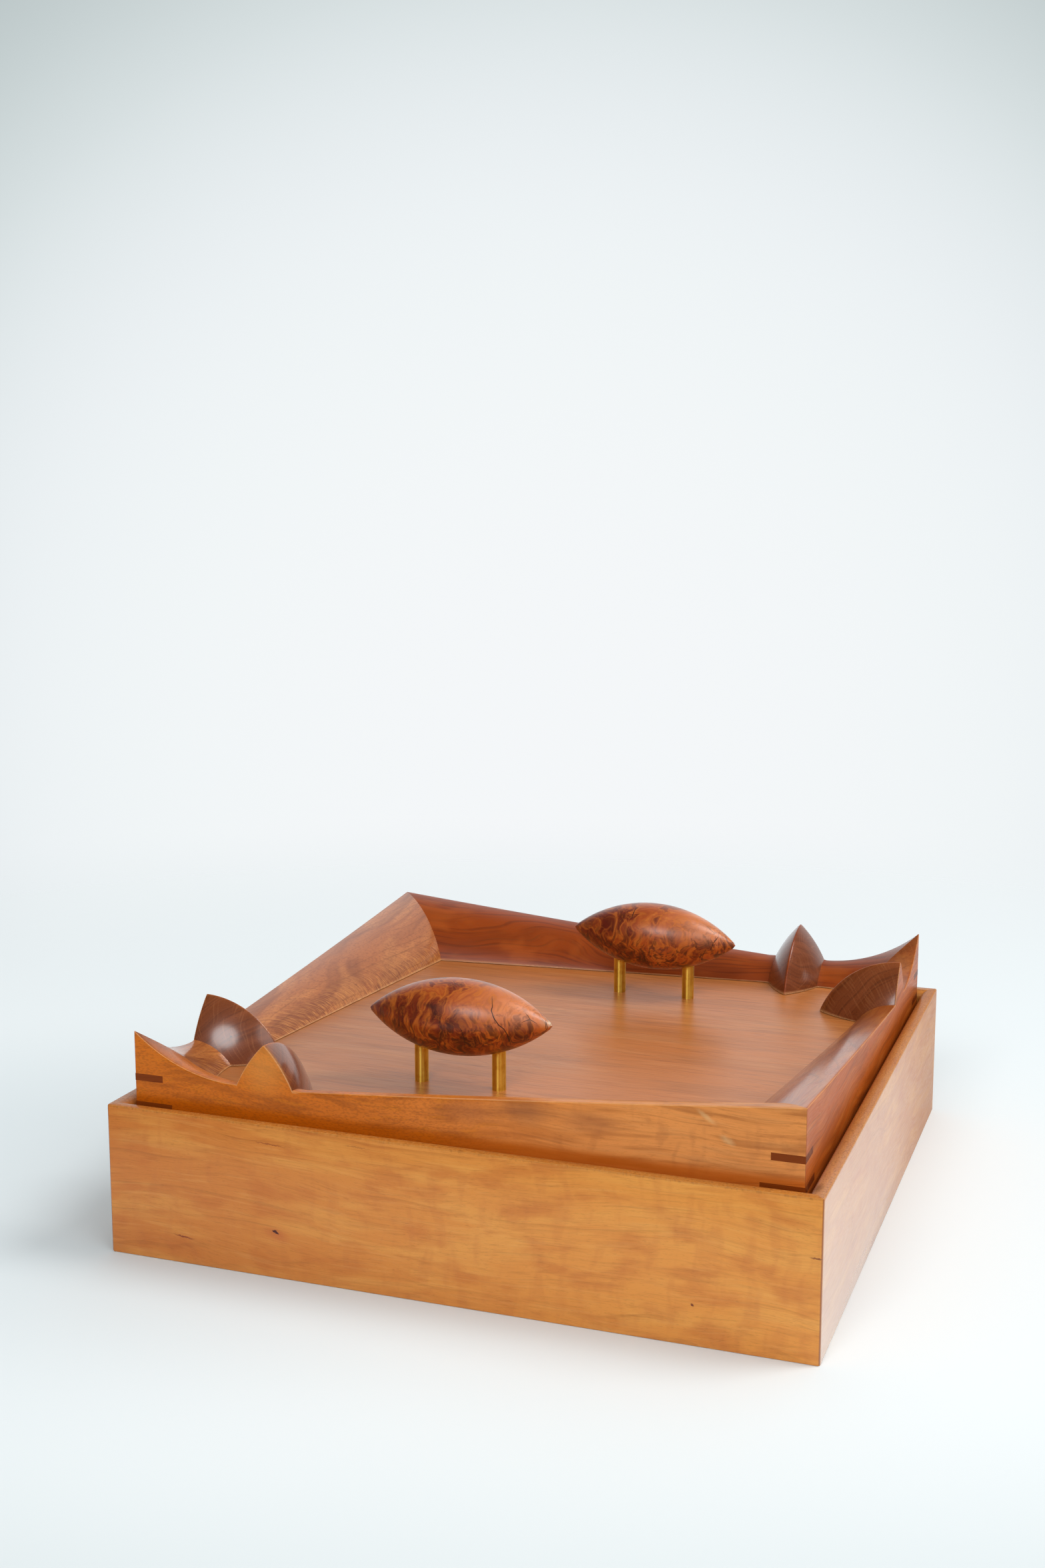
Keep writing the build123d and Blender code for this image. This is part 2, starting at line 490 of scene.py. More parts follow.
    def _fade(
        self, tree: Tree, spaces: dict[Space, Node], amount: Node, fades: tuple[Fade, ...], least: float = 0.0
    ) -> Node:
        """Weakens an amount where its fades hide it.

        Args:
            tree: The material's node tree.
            spaces: The frames from _spaces.
            amount: How much shows without the fades.
            fades: The fades.
            least: The share that a fade leaves where it hides most.

        Returns:
            How much still shows.
        """
        for fade in fades:
            parts = add_node(tree, SPLIT, {0: spaces[Space.PLACE]}).outputs
            limits = {"Value": parts[fade.axis], "From Min": fade.start_mm, "From Max": fade.full_mm}
            shown = add_node(tree, RANGE, limits | {"To Min": least}, **SMOOTH)
            amount = add_node(tree, MATH, {0: amount, 1: shown}, operation="MULTIPLY")
        return amount

    def _ring_lines(self, tree: Tree, spaces: dict[Space, Node], under: Socket | Node) -> Node:
        """Draws the thin dark end of each year's growth, broken here and there.

        Args:
            tree: The material's node tree.
            spaces: The frames from _spaces.
            under: The colour to draw on.

        Returns:
            The new colour.
        """
        parts = add_node(tree, SPLIT, {0: spaces[Space.TREE]}).outputs
        count = add_node(tree, MATH, {0: parts["Y"], 1: 1 / self.ring_mm}, operation="MULTIPLY")
        # Years differ, so a slow noise stretches and squeezes them.
        years = add_node(tree, NOISE, {"W": count, "Scale": 0.45, "Detail": 2.0}, noise_dimensions="1D")
        uneven = add_node(tree, MATH, {0: years, 1: self.year_stretch, 2: count}, operation="MULTIPLY_ADD")
        within = add_node(tree, MATH, {0: uneven}, operation="FRACT")
        gaps = grained(tree, spaces[Space.BOARD], self.ring_gap_mm)
        limits = {"Value": gaps, "From Min": 0.38, "From Max": 0.62, "To Max": self.ring_strength}
        shown = add_node(tree, RANGE, limits, **SMOOTH)
        return lay(tree, under, self.ring_colour, within, self.year_line, shown)

    def _end_share(self, tree: Tree, normal: Socket) -> Node:
        """How far a face cuts across the fibres, from 0 on a side to 1 on an end.

        Args:
            tree: The material's node tree.
            normal: The face's direction.

        Returns:
            The share of end grain.
        """
        axis = (1.0, 0.0, 0.0) if self.grain is Grain.ALONG_X else (0.0, 1.0, 0.0)
        along = add_node(tree, VECTOR, {0: normal, 1: axis}, operation="DOT_PRODUCT")
        size = add_node(tree, MATH, {0: along}, operation="ABSOLUTE")
        low, high = self.end_slope
        return add_node(tree, RANGE, {"Value": size, "From Min": low, "From Max": high}, **SMOOTH)


def draw_marks(tree: Tree, place: Socket, under: Socket | Node, marks: tuple[Mark, ...]) -> Socket | Node:
    """Draws spots at measured places, with ragged edges.

    Args:
        tree: The material's node tree.
        place: Object coordinates.
        under: The colour to draw on.
        marks: The spots.

    Returns:
        The new colour.
    """
    if not marks:
        return under
    ragged = pushed(tree, place, grained(tree, place, (RAGGED,) * 3), RAGGED)
    colour = under
    for mark in marks:
        egg = {
            "Vector": ragged,
            "Location": tuple(value * MM for value in mark.centre_mm),
            "Rotation": (0.0, mark.tilt, 0.0),
            "Scale": tuple(value * MM for value in mark.reach_mm),
        }
        inside = add_node(tree, "ShaderNodeMapping", egg, vector_type="TEXTURE")
        far = add_node(tree, VECTOR, {0: inside}, operation="LENGTH")
        colour = lay(tree, colour, mark.colour, far, (1.0, mark.core), mark.strength)
    return colour


@dataclass(frozen=True)
class OiledBurl:
    """Burl turned and oiled: folded grain that glows orange between dark red pools, with a few dry cracks."""

    name: str
    centre_mm: Point
    away_mm: Point = (0.0, 0.0, 0.0)
    marks: tuple[Mark, ...] = ()
    stops: tuple[tuple[float, str], ...] = (
        (0.30, "#3C0E02"),
        (0.41, "#6C2103"),
        (0.50, "#8C3406"),
        (0.59, "#A84A10"),
        (0.72, "#C26C24"),
    )
    # How wide a fold is, how far it pushes, and how far its noise lies from the other's.
    folds: tuple[Point, ...] = ((28.0, 34.0, 0.0), (9.0, 6.0, 5.3))
    pool_mm: float = 13.0
    drawn_out: Point = (1.0, 1.0, 0.6)
    # Each web of threads: its grain, the width of a thread and its strength.
    threads: tuple[Point, ...] = ((13.0, 0.05, 0.5), (6.0, 0.05, 0.26), (2.6, 0.08, 0.14))
    thread_colour: str = "#CE701C"
    drip_colour: str = "#3A1206"
    drip_mm: Point = (2.4, 2.4, 11.0)
    drip_span: Span = (0.46, 0.64)
    drip_strength: float = 0.8
    drips_below_mm: Span = (22.0, -9.0)
    # Painted light: one end of the burl is painted paler above, a painted sheen, and the other end darker,
    # painted shade: a colour, its strength, the places along the handle where it starts and is full, and the
    # height where it starts.
    painted_sheen_and_shade: tuple[tuple[str, float, float, float, float], ...] = (
        ("#DE8854", 0.75, -5.0, 45.0, -4.0),
        ("#701C00", 0.6, -8.0, -45.0, -90.0),
    )
    painted_rise_mm: float = 12.0
    crack_colour: str = "#240B04"
    crack_depth: float = 8.0
    crack_edge_mm: Span = (0.12, -0.1)
    relief_mm: float = 0.03
    roughness: Span = (0.46, 0.38)
    dull_tips_mm: Span = (30.0, 55.0)
    dullness: float = 0.1

    def material(self) -> bpy.types.Material:
        """Builds the material.

        Returns:
            The finished material.
        """
        material, tree, shader = new_material(
            self.name, IOR=1.5, Specular_IOR_Level=0.1, Coat_Weight=1.0, Coat_Roughness=0.34
        )
        place = add_node(tree, "ShaderNodeTexCoord").outputs["Object"]
        middle = tuple(-value for value in self.centre_mm)
        at = add_node(tree, "ShaderNodeMapping", {"Vector": place, "Location": middle, "Scale": TO_MM})
        parts = add_node(tree, SPLIT, {0: at}).outputs
        bent = add_node(tree, VECTOR, {0: at, 1: self.away_mm})
        for wide, push, away in self.folds:
            bent = pushed(tree, bent, grained(tree, bent, (wide,) * 3, away=away), push)
        drawn = add_node(tree, VECTOR, {0: bent, 1: self.drawn_out}, operation="MULTIPLY")
        spots = {"Vector": drawn, "Scale": 1 / self.pool_mm, "Detail": 4.0, "Roughness": 0.5}
        pools = add_node(tree, NOISE, spots)
        colour = add_node(tree, "ShaderNodeValToRGB", {"Fac": pools})
        fill_ramp(colour.color_ramp, self.stops)
        # Paints a sheen on the upper part of one end and shade over the other end.
        for painted_colour, strength, start, full, low in self.painted_sheen_and_shade:
            limits = {"Value": parts["X"], "From Min": start, "From Max": full, "To Max": strength}
            amount = add_node(tree, RANGE, limits, **SMOOTH)
            colour = lay(tree, colour, painted_colour, parts["Z"], (low, low + self.painted_rise_mm), amount)
        for grain_mm, width, strength in self.threads:
            web = add_node(tree, NOISE, {"Vector": drawn, "Scale": 1 / grain_mm, "Detail": 2.0})
            centred = add_node(tree, MATH, {0: web, 1: 0.5}, operation="SUBTRACT")
            off = add_node(tree, MATH, {0: centred}, operation="ABSOLUTE")
            colour = lay(tree, colour, self.thread_colour, off, (width, 0.0), strength)
        # Dark grain runs down the lower half in drips.
        start, full = self.drips_below_mm
        limits = {"Value": parts["Z"], "From Min": start, "From Max": full, "To Max": self.drip_strength}
        low = add_node(tree, RANGE, limits, **SMOOTH)
        drips = grained(tree, bent, self.drip_mm, 3.0)
        colour = lay(tree, colour, self.drip_colour, drips, self.drip_span, low)
        colour = draw_marks(tree, place, colour, self.marks)
        crack = self._cracks(tree)
        blend = {"Factor_Float": crack, "A_Color": colour, "B_Color": linear(self.crack_colour)}
        colour = add_node(tree, MIX, blend, **COLOURS)
        height = add_node(tree, MATH, {0: crack, 1: -self.crack_depth, 2: pools}, operation="MULTIPLY_ADD")
        relief = {"Height": height, "Strength": 1.0, "Distance": self.relief_mm * MM}
        bump = add_node(tree, "ShaderNodeBump", relief)
        # Hands have polished the belly; the tips stay dull.
        tips = add_node(tree, MATH, {0: parts["X"]}, operation="ABSOLUTE")
        start, full = self.dull_tips_mm
        limits = {"Value": tips, "From Min": start, "From Max": full, "To Max": self.dullness}
        dull = add_node(tree, RANGE, limits)
        low, high = self.roughness
        limits = {"Value": pools, "From Min": 0.3, "From Max": 0.7, "To Min": low, "To Max": high}
        rough = add_node(tree, MATH, {0: add_node(tree, RANGE, limits), 1: dull})
        plug(tree, shader, Base_Color=colour, Roughness=rough, Normal=bump)
        return material

    def _cracks(self, tree: Tree) -> Node:
        """Reads the cracks that the handle's mesh carries.

        Args:
            tree: The material's node tree.

        Returns:
            How much of a point is inside a crack.
        """
        carried = add_node(tree, "ShaderNodeAttribute", attribute_name=CRACK_ATTRIBUTE)
        parts = add_node(tree, SPLIT, {0: carried.outputs["Vector"]}).outputs
        off = add_node(tree, MATH, {0: parts["X"]}, operation="ABSOLUTE")
        inside = add_node(tree, MATH, {0: off, 1: parts["Y"]}, operation="SUBTRACT")
        start, full = self.crack_edge_mm
        return add_node(tree, RANGE, {"Value": inside, "From Min": start, "From Max": full}, **SMOOTH)


@dataclass(frozen=True)
class DrawnBrass:
    """Brass rod cut from drawn stock: fine lines along it, and a brown bloom where fingers have been."""

    name: str
    bright: str = "#FCE46C"
    dull: str = "#DDB63C"
    # Drawing leaves lines a few tenths of a millimetre apart and some 30 mm long.
    line_mm: Point = (0.25, 0.25, 100 / 3)
    line_depth_mm: float = 0.004
    bloom_mm: float = 6.25
    bloom_span: Span = (0.45, 0.7)
    bloom_strength: float = 0.6
    roughness: Span = (0.3, 0.42)

    def material(self) -> bpy.types.Material:
        """Builds the material.

        Returns:
            The finished material.
        """
        # Emery rubbed round the rod stretches each light along it.
        material, tree, shader = new_material(
            self.name, Metallic=1.0, Anisotropic=0.85, Anisotropic_Rotation=0.25
        )
        place = add_node(tree, "ShaderNodeTexCoord").outputs["Object"]
        lines = grained(tree, place, tuple(size * MM for size in self.line_mm))
        bloom = add_node(tree, NOISE, {"Vector": place, "Scale": 1 / (self.bloom_mm * MM), "Detail": 4.0})
        colour = lay(tree, linear(self.bright), self.dull, bloom, self.bloom_span, self.bloom_strength)
        low, high = self.roughness
        limits = {"Value": lines, "From Min": 0.3, "From Max": 0.7, "To Min": low, "To Max": high}
        rough = add_node(tree, RANGE, limits)
        relief = {"Height": lines, "Strength": 1.0, "Distance": self.line_depth_mm * MM}
        bump = add_node(tree, "ShaderNodeBump", relief)
        plug(tree, shader, Base_Color=colour, Roughness=rough, Normal=bump)
        return material


# Cherry sawn flat shows soft clouds and bars that shine light and dark, about 10 to 30 mm long.
CLOUDS = (
    Figure("#E4A450", 0.35, (70.0, 18.0, 10.0), 0.46, 0.66),
    Figure("#B65E26", 0.42, (24.0, 15.0, 10.0), 0.46, 0.70, 3.0),
    Figure("#BC6C32", 0.24, (8.0, 36.0, 28.0), 0.50, 0.68),
    Figure("#A85E2A", 0.18, (46.0, 4.0, 2.4), 0.52, 0.70),
    Figure("#E4A85C", 0.16, (40.0, 3.4, 2.0), 0.54, 0.70),
)
# Fibres and pores finer than a pixel are drawn a little coarse so that they show.
FIBRES = (
    Figure("#8A4A1C", 0.18, (26.0, 0.9, 0.7), 0.50, 0.72),
    Figure("#7A3E14", 0.16, (3.2, 0.5, 0.45), 0.58, 0.74, 1.0),
)
# The rim of a wall is painted a dull deep orange at its top: painted shade under the lid. The rim of a
# wall cuts the rays short, which leaves it finely pebbled.
NEAR_RIM = (Fade("Z", 84.0, 85.9),)
RIM_SHADE_AND_PEBBLES = (
    tint("#A8621C", 0.60, Fade("Z", 84.6, 85.8)),
    Figure("#CE9050", 0.40, (1.5, 1.1, 9.0), 0.50, 0.66, 1.0, Space.BOARD, NEAR_RIM),
    Figure("#6E3C1A", 0.42, (1.4, 1.0, 9.0), 0.52, 0.68, 1.0, Space.BOARD, NEAR_RIM),
)
END_GRAIN = (
    Figure("#8A4A28", 0.55, (40.0, 7.0, 60.0), 0.42, 0.62, 2.0, Space.TREE),
    Figure("#3C1A0C", 0.34, (60.0, 1.4, 90.0), 0.46, 0.68, 2.0, Space.TREE),
    Figure("#A86A40", 0.24, (50.0, 16.0, 0.6), 0.54, 0.70, 1.0, Space.TREE),
    Figure("#2A1208", 0.45, (1.2, 0.6, 0.6), 0.60, 0.74, 1.0),
)

# A gum pocket with its halo, and small gum streaks and pins, where the front wall has them.
WALL_MARKS = (
    Mark("#B4532A", (-96.0, -200.0, 25.0), (11.0, 6.0, 5.0), 0.25, 0.45, 0.1),
    Mark("#3A0F14", (-96.6, -200.0, 26.4), (2.6, 3.0, 0.95), 0.42, 0.95, 0.6),
    Mark("#7A2B1C", (-153.5, -200.0, 15.5), (8.0, 3.0, 0.6), 0.12, 0.85, 0.3),
    Mark("#6A2418", (135.4, -200.0, 22.0), (1.1, 2.0, 1.0), 0.5, 0.9, 0.4),
    Mark("#6E2C1C", (197.0, -200.0, 55.4), (4.5, 4.0, 0.55), 0.05, 0.8, 0.3),
    Mark("#8A4222", (-99.0, -200.0, 75.6), (13.0, 3.0, 0.5), 0.06, 0.7, 0.3),
    Mark("#8A4A28", (-48.0, -200.0, 80.5), (9.0, 3.0, 0.5), 0.06, 0.5, 0.3),
)

FRONT_WALL = OiledWood(
    name="cherry_wall_front",
    grain=Grain.ALONG_X,
    pith_mm=(-130.0, -25.0),
    base="#DC9040",
    figures=(tint("#BE6A2C", 0.75, Fade("X", 150.0, -230.0)),) + CLOUDS + FIBRES + RIM_SHADE_AND_PEBBLES,
    ring_mm=9.0,
    ring_colour="#8E4E20",
    ring_strength=0.2,
    marks=WALL_MARKS,
    worn_and_highlight_colour="#C68238",
)
WALLS = {
    Side.FRONT: FRONT_WALL,
    Side.BACK: replace(FRONT_WALL, name="cherry_wall_back", pith_mm=(270.0, 20.0), marks=()),
    Side.LEFT: replace(
        FRONT_WALL, name="cherry_wall_left", grain=Grain.ALONG_Y, pith_mm=(-140.0, 110.0), marks=()
    ),
    Side.RIGHT: replace(
        FRONT_WALL,
        name="cherry_wall_right",
        grain=Grain.ALONG_Y,
        pith_mm=(120.0, 30.0),
        base="#C48048",
        # The two tints paint the wall darker orange towards its back end and pale pink towards its front end;
        # the pale pink is a painted reflection of the bright floor.
        figures=CLOUDS
        + FIBRES
        + (tint("#A8641E", 0.50, Fade("Y", 20.0, 190.0)), tint("#F0DCCB", 0.25, Fade("Y", -70.0, -200.0)))
        + RIM_SHADE_AND_PEBBLES,
        marks=(Mark("#5A3A24", (194.0, -186.0, 86.0), (4.0, 9.0, 3.0), 0.0, 0.6, 0.1),),
        roughness=0.34,
        polish=1.0,
        polish_roughness=0.08,
        polish_fades=(Fade("Y", 170.0, -110.0), Fade("Z", 85.6, 84.2)),
        specular=0.12,
        least_polish=0.1,
    ),
}

LEFT_PART = (Fade("X", 80.0, -40.0),)
STREAKS = (
    Figure("#944E1A", 0.48, (70.0, 8.0, 4.5), 0.46, 0.64),
    Figure("#D28C4C", 0.40, (44.0, 7.0, 4.0), 0.50, 0.66),
    Figure("#7A3C12", 0.18, (60.0, 2.0, 1.3), 0.54, 0.70),
    Figure("#8E4E2A", 0.22, (9.0, 20.0, 16.0), 0.52, 0.70),
)
FRONT_RAIL = OiledWood(
    name="cherry_rail_front",
    grain=Grain.ALONG_X,
    pith_mm=(-150.0, 30.0),
    base="#DC8C46",
    figures=STREAKS
    + (
        tint("#DA7212", 0.9, Fade("X", 140.0, -100.0)),
        Figure("#7E3A0A", 0.60, (26.0, 9.0, 4.4), 0.46, 0.66, 3.0, Space.BOARD, LEFT_PART),
        Figure("#D87E14", 0.60, (20.0, 9.0, 3.6), 0.52, 0.68, 3.0, Space.BOARD, LEFT_PART),
    )
    + FIBRES
    # The last tint paints the rail's foot, from Z 92 down to 87, a bright deep orange: painted bounce light
    # from the gap over the wall.
    + (tint("#BC6000", 0.50, Fade("X", 60.0, -80.0)), tint("#B85600", 0.75, Fade("Z", 92.0, 87.0))),
    ring_mm=7.0,
    ring_colour="#70380F",
    ring_strength=0.22,
    end_figures=END_GRAIN,
    ripple=Figure(
        "#7E3E0A", 0.32, (1.9, 0.9, 0.75), 0.44, 0.66, 1.0, Space.BOARD, (Fade("X", 60.0, -30.0),)
    ),
    polish=0.05,
    polish_roughness=0.16,
    marks=(
        Mark("#DE9444", (-108.0, -188.0, 114.0), (21.0, 3.0, 22.0), 0.0, 0.45, 0.1),
        Mark("#D8AE76", (138.0, -188.0, 116.0), (8.0, 4.0, 2.0), 0.6, 0.5, 0.1),
        Mark("#D8AE76", (149.0, -188.0, 105.0), (6.0, 4.0, 2.6), 0.5, 0.5, 0.1),
        Mark("#603428", (42.0, -188.0, 107.0), (24.0, 4.0, 10.0), 0.0, 0.45, 0.05),
        Mark("#84482C", (77.0, -188.0, 105.5), (26.0, 4.0, 9.0), 0.0, 0.40, 0.05),
        Mark("#84482C", (11.0, -188.0, 103.0), (26.0, 4.0, 9.0), 0.0, 0.40, 0.05),
    ),
)
RAILS = {
    Side.FRONT: FRONT_RAIL,
    Side.BACK: replace(
        FRONT_RAIL,
        name="cherry_rail_back",
        pith_mm=(120.0, 60.0),
        base="#923C06",
        figures=(
            Figure("#702C08", 0.40, (44.0, 12.0, 60.0), 0.44, 0.64, 2.0, Space.TREE),
            Figure("#5E2206", 0.45, (80.0, 2.0, 90.0), 0.48, 0.66, 2.0, Space.TREE),
            Figure("#B4581A", 0.38, (34.0, 14.0, 14.0), 0.50, 0.70),
        )
        + FIBRES,
        ripple=None,
        ring_strength=0.4,
        polish=0.14,
        wander_mm=26.0,
        marks=(
            Mark("#E08A3A", (-33.0, 136.0, 93.0), (4.0, 6.0, 2.4), 0.1, 0.8, 0.2),
            Mark("#1E120A", (-122.0, 188.0, 123.5), (8.0, 2.0, 1.0), 0.1, 0.9, 0.5),
            Mark("#D87A2E", (117.5, 140.5, 92.0), (4.5, 4.0, 4.0), 0.0, 0.8, 0.2),
            Mark("#2A0F08", (116.0, 140.5, 92.5), (1.8, 4.0, 1.8), 0.0, 0.9, 0.5),
        ),
    ),
    Side.LEFT: replace(
        FRONT_RAIL,
        name="cherry_rail_left",
        grain=Grain.ALONG_Y,
        pith_mm=(-113.0, 15.0),
        base="#AC6230",
        figures=(
            Figure("#7A3C1C", 0.65, (110.0, 60.0, 3.2), 0.46, 0.62, 2.0, Space.TREE),
            Figure("#CC8244", 0.50, (90.0, 40.0, 3.0), 0.50, 0.66, 2.0, Space.TREE),
            Figure("#844422", 0.45, (2.4, 1.2, 1.2), 0.48, 0.66),
            Figure("#D48C46", 0.70, (0.5, 7.0, 2.2), 0.49, 0.62, 0.5, Space.RAYS, (Fade("Z", 110.0, 90.0),)),
            Figure("#6E3418", 0.50, (0.5, 7.0, 2.2), 0.54, 0.66, 0.5, Space.RAYS, (Fade("Z", 116.0, 96.0),)),
        )
        + FIBRES
        + (tint("#B4641E", 0.55, Fade("X", -187.0, -188.0)),),
        ring_mm=5.0,
        ripple=None,
        ring_strength=0.4,
        polish=0.8,
        polish_fades=(Fade("X", -188.1, -186.6),),
        least_polish=0.05,
        ray_bow=0.05,
        ray_middle_mm=84.0,
        marks=(Mark("#1A0C08", (-166.5, -119.2, 105.0), (0.9, 0.9, 0.9), 0.0, 0.9, 0.4),),
    ),
    Side.RIGHT: replace(
        FRONT_RAIL,
        name="cherry_rail_right",
        grain=Grain.ALONG_Y,
        pith_mm=(230.0, 40.0),
        base="#AE5A24",
        figures=(
            Figure("#8A4418", 0.45, (90.0, 9.0, 5.0), 0.44, 0.64),
            Figure("#C27C3C", 0.32, (70.0, 9.0, 5.0), 0.48, 0.68),
            tint("#B4540A", 0.70, Fade("X", 186.8, 188.0)),
            Figure("#7A3410", 0.40, (70.0, 9.0, 4.0), 0.44, 0.66, 3.0),
            Figure("#CE7A34", 0.30, (50.0, 6.0, 3.0), 0.50, 0.68),
            Figure("#7A3A14", 0.35, (60.0, 1.8, 1.3), 0.54, 0.70),
        )
        + FIBRES,
        ripple=None,
        ring_strength=0.4,
        polish=0.7,
        polish_fades=(Fade("X", 188.1, 186.6),),
        specular=0.1,
        least_polish=0.05,
        marks=(),
    ),
}
# The panel is rubbed thinner than the rails, so it mirrors softly.
PANEL = OiledWood(
    name="cherry_panel",
    grain=Grain.ALONG_X,
    pith_mm=(-40.0, -260.0),
    base="#BE7034",
    figures=(
        Figure("#A4622F", 0.38, (110.0, 10.0, 10.0), 0.44, 0.64),
        Figure("#CE8A52", 0.30, (90.0, 12.0, 12.0), 0.50, 0.66),
        Figure("#7A3E18", 0.45, (36.0, 0.6, 0.6), 0.54, 0.68),
        Figure("#D4925A", 0.22, (24.0, 0.7, 0.7), 0.56, 0.70),
    )
    + FIBRES
    # The last tint paints the panel darker towards its left side: painted shade.
    + (tint("#6A4A3A", 0.25, Fade("X", 0.0, -130.0)),),
    ring_mm=4.0,
    ring_colour="#7E4520",
    ring_strength=0.30,
    wander_mm=5.0,
    polish=0.27,
    polish_roughness=0.26,
)
HIDDEN = replace(PANEL, name="cherry_inside", pith_mm=(30.0, -160.0), base="#B87A44", polish=0.1)
# Dark keys, sanded flush and left almost without oil.
WALNUT = OiledWood(
    name="walnut_key",
    grain=Grain.ALONG_X,
    pith_mm=(30.0, -160.0),
    base="#7A360C",
    figures=FIBRES,
    ring_mm=2.0,
    ring_colour="#3E1A0C",
    ring_strength=0.4,
    end_base="#702E0A",
    end_figures=END_GRAIN[1:],
    polish=0.05,
    end_polish=0.05,
    specular=0.08,
)


def piece_from(made: bmesh.types.BMesh, name: str, material: bpy.types.Material) -> bpy.types.Object:
    """Turns a bmesh into a piece at the origin, with soft shading that keeps its sharp edges.

    Args:
        made: The finished bmesh, which is freed.
        name: The piece's name.
        material: Its material.

    Returns:
        The new object.
    """
    bmesh.ops.remove_doubles(made, verts=made.verts, dist=WELD)
    bmesh.ops.dissolve_degenerate(made, edges=made.edges, dist=WELD / 2)
    bmesh.ops.recalc_face_normals(made, faces=made.faces)
    write_wear_and_highlight(made)
    mesh = bpy.data.meshes.new(name)
    made.to_mesh(mesh)
    made.free()
    mesh.materials.append(material)
    piece = bpy.data.objects.new(name, mesh)
    bpy.context.scene.collection.objects.link(piece)
    smooth_piece(piece)
    return piece


def write_wear_and_highlight(made: bmesh.types.BMesh) -> None:
    """Writes on each point how worn it is, which also sets its painted highlight: 1 on an arris and 0 on a
    flat, or in a mitre, where nothing rubs.

    Args:
        made: The bmesh to write on.
    """
    layer = made.verts.layers.float.new(WORN_AND_HIGHLIGHT_ATTRIBUTE)
    diagonal, near = math.sqrt(0.5), 0.01
    mitre = {
        face
        for face in made.faces
        if all(abs(abs(part) - diagonal) < near for part in (face.normal.x, face.normal.y))
    }
    for vertex in made.verts:
        if mitre.intersection(vertex.link_faces):
            continue
        sharpest = max((edge.calc_face_angle_signed(0.0) for edge in vertex.link_edges), default=0.0)
        vertex[layer] = min(max((math.degrees(sharpest) - WORN_FROM) / WORN_OVER, 0.0), 1.0)


def smooth_piece(piece: bpy.types.Object) -> None:
    """Shades a piece smooth except across its sharp edges.

    Args:
        piece: The piece.
    """
    mesh = piece.data
    mesh.polygons.foreach_set("use_smooth", [True] * len(mesh.polygons))
    mesh.set_sharp_from_angle(angle=math.radians(SHARP))


def evaluated_piece(piece: bpy.types.Object) -> None:
    """Bakes a piece's modifiers into its mesh and removes them.

    Args:
        piece: The piece.
    """
    graph = bpy.context.evaluated_depsgraph_get()
    mesh = bpy.data.meshes.new_from_object(piece.evaluated_get(graph), depsgraph=graph)
    piece.modifiers.clear()
    piece.data = mesh


def turned(side: Side, along: float, out: float, up: float) -> Point:
    """Places a point of a side in the frame.

    Args:
        side: The side that it belongs to.
        along: Its place along the side, rightward for one who looks at the side from outside.
        out: How far it lies out from the middle.
        up: Its height.

    Returns:
        The point.
    """
    places = {
        Side.FRONT: (along, -out, up),
        Side.BACK: (-along, out, up),
        Side.LEFT: (-out, -along, up),
        Side.RIGHT: (out, along, up),
    }
    return places[side]


def stand_for(piece: bpy.types.Object, body: str, slot: str, *nodes: str) -> None:
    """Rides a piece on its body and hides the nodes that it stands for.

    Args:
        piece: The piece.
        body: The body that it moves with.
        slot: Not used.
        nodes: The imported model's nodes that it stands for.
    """
    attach(piece, body)
    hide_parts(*nodes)
    LOG.info("%s: %d faces", piece.name, len(piece.data.polygons))


def dress(node: bpy.types.Object, material: bpy.types.Material) -> None:
    """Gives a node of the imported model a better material.

    Args:
        node: The node.
        material: Its material.
    """
    node.data.materials.clear()
    node.data.materials.append(material)
    LOG.info("%s keeps its shape", node.name)


def fill_between(made: bmesh.types.BMesh, loops: list[list[Point]]) -> None:
    """Joins loops of points of equal count into a closed skin with flat ends.

    Args:
        made: The bmesh to build in.
        loops: The loops in order.
    """
    rings = [[made.verts.new(point) for point in loop] for loop in loops]
    for first, second in zip(rings, rings[1:]):
        for place in range(len(first)):
            following = (place + 1) % len(first)
            made.faces.new((first[place], first[following], second[following], second[place]))
    made.faces.new(rings[0])
    made.faces.new(list(reversed(rings[-1])))


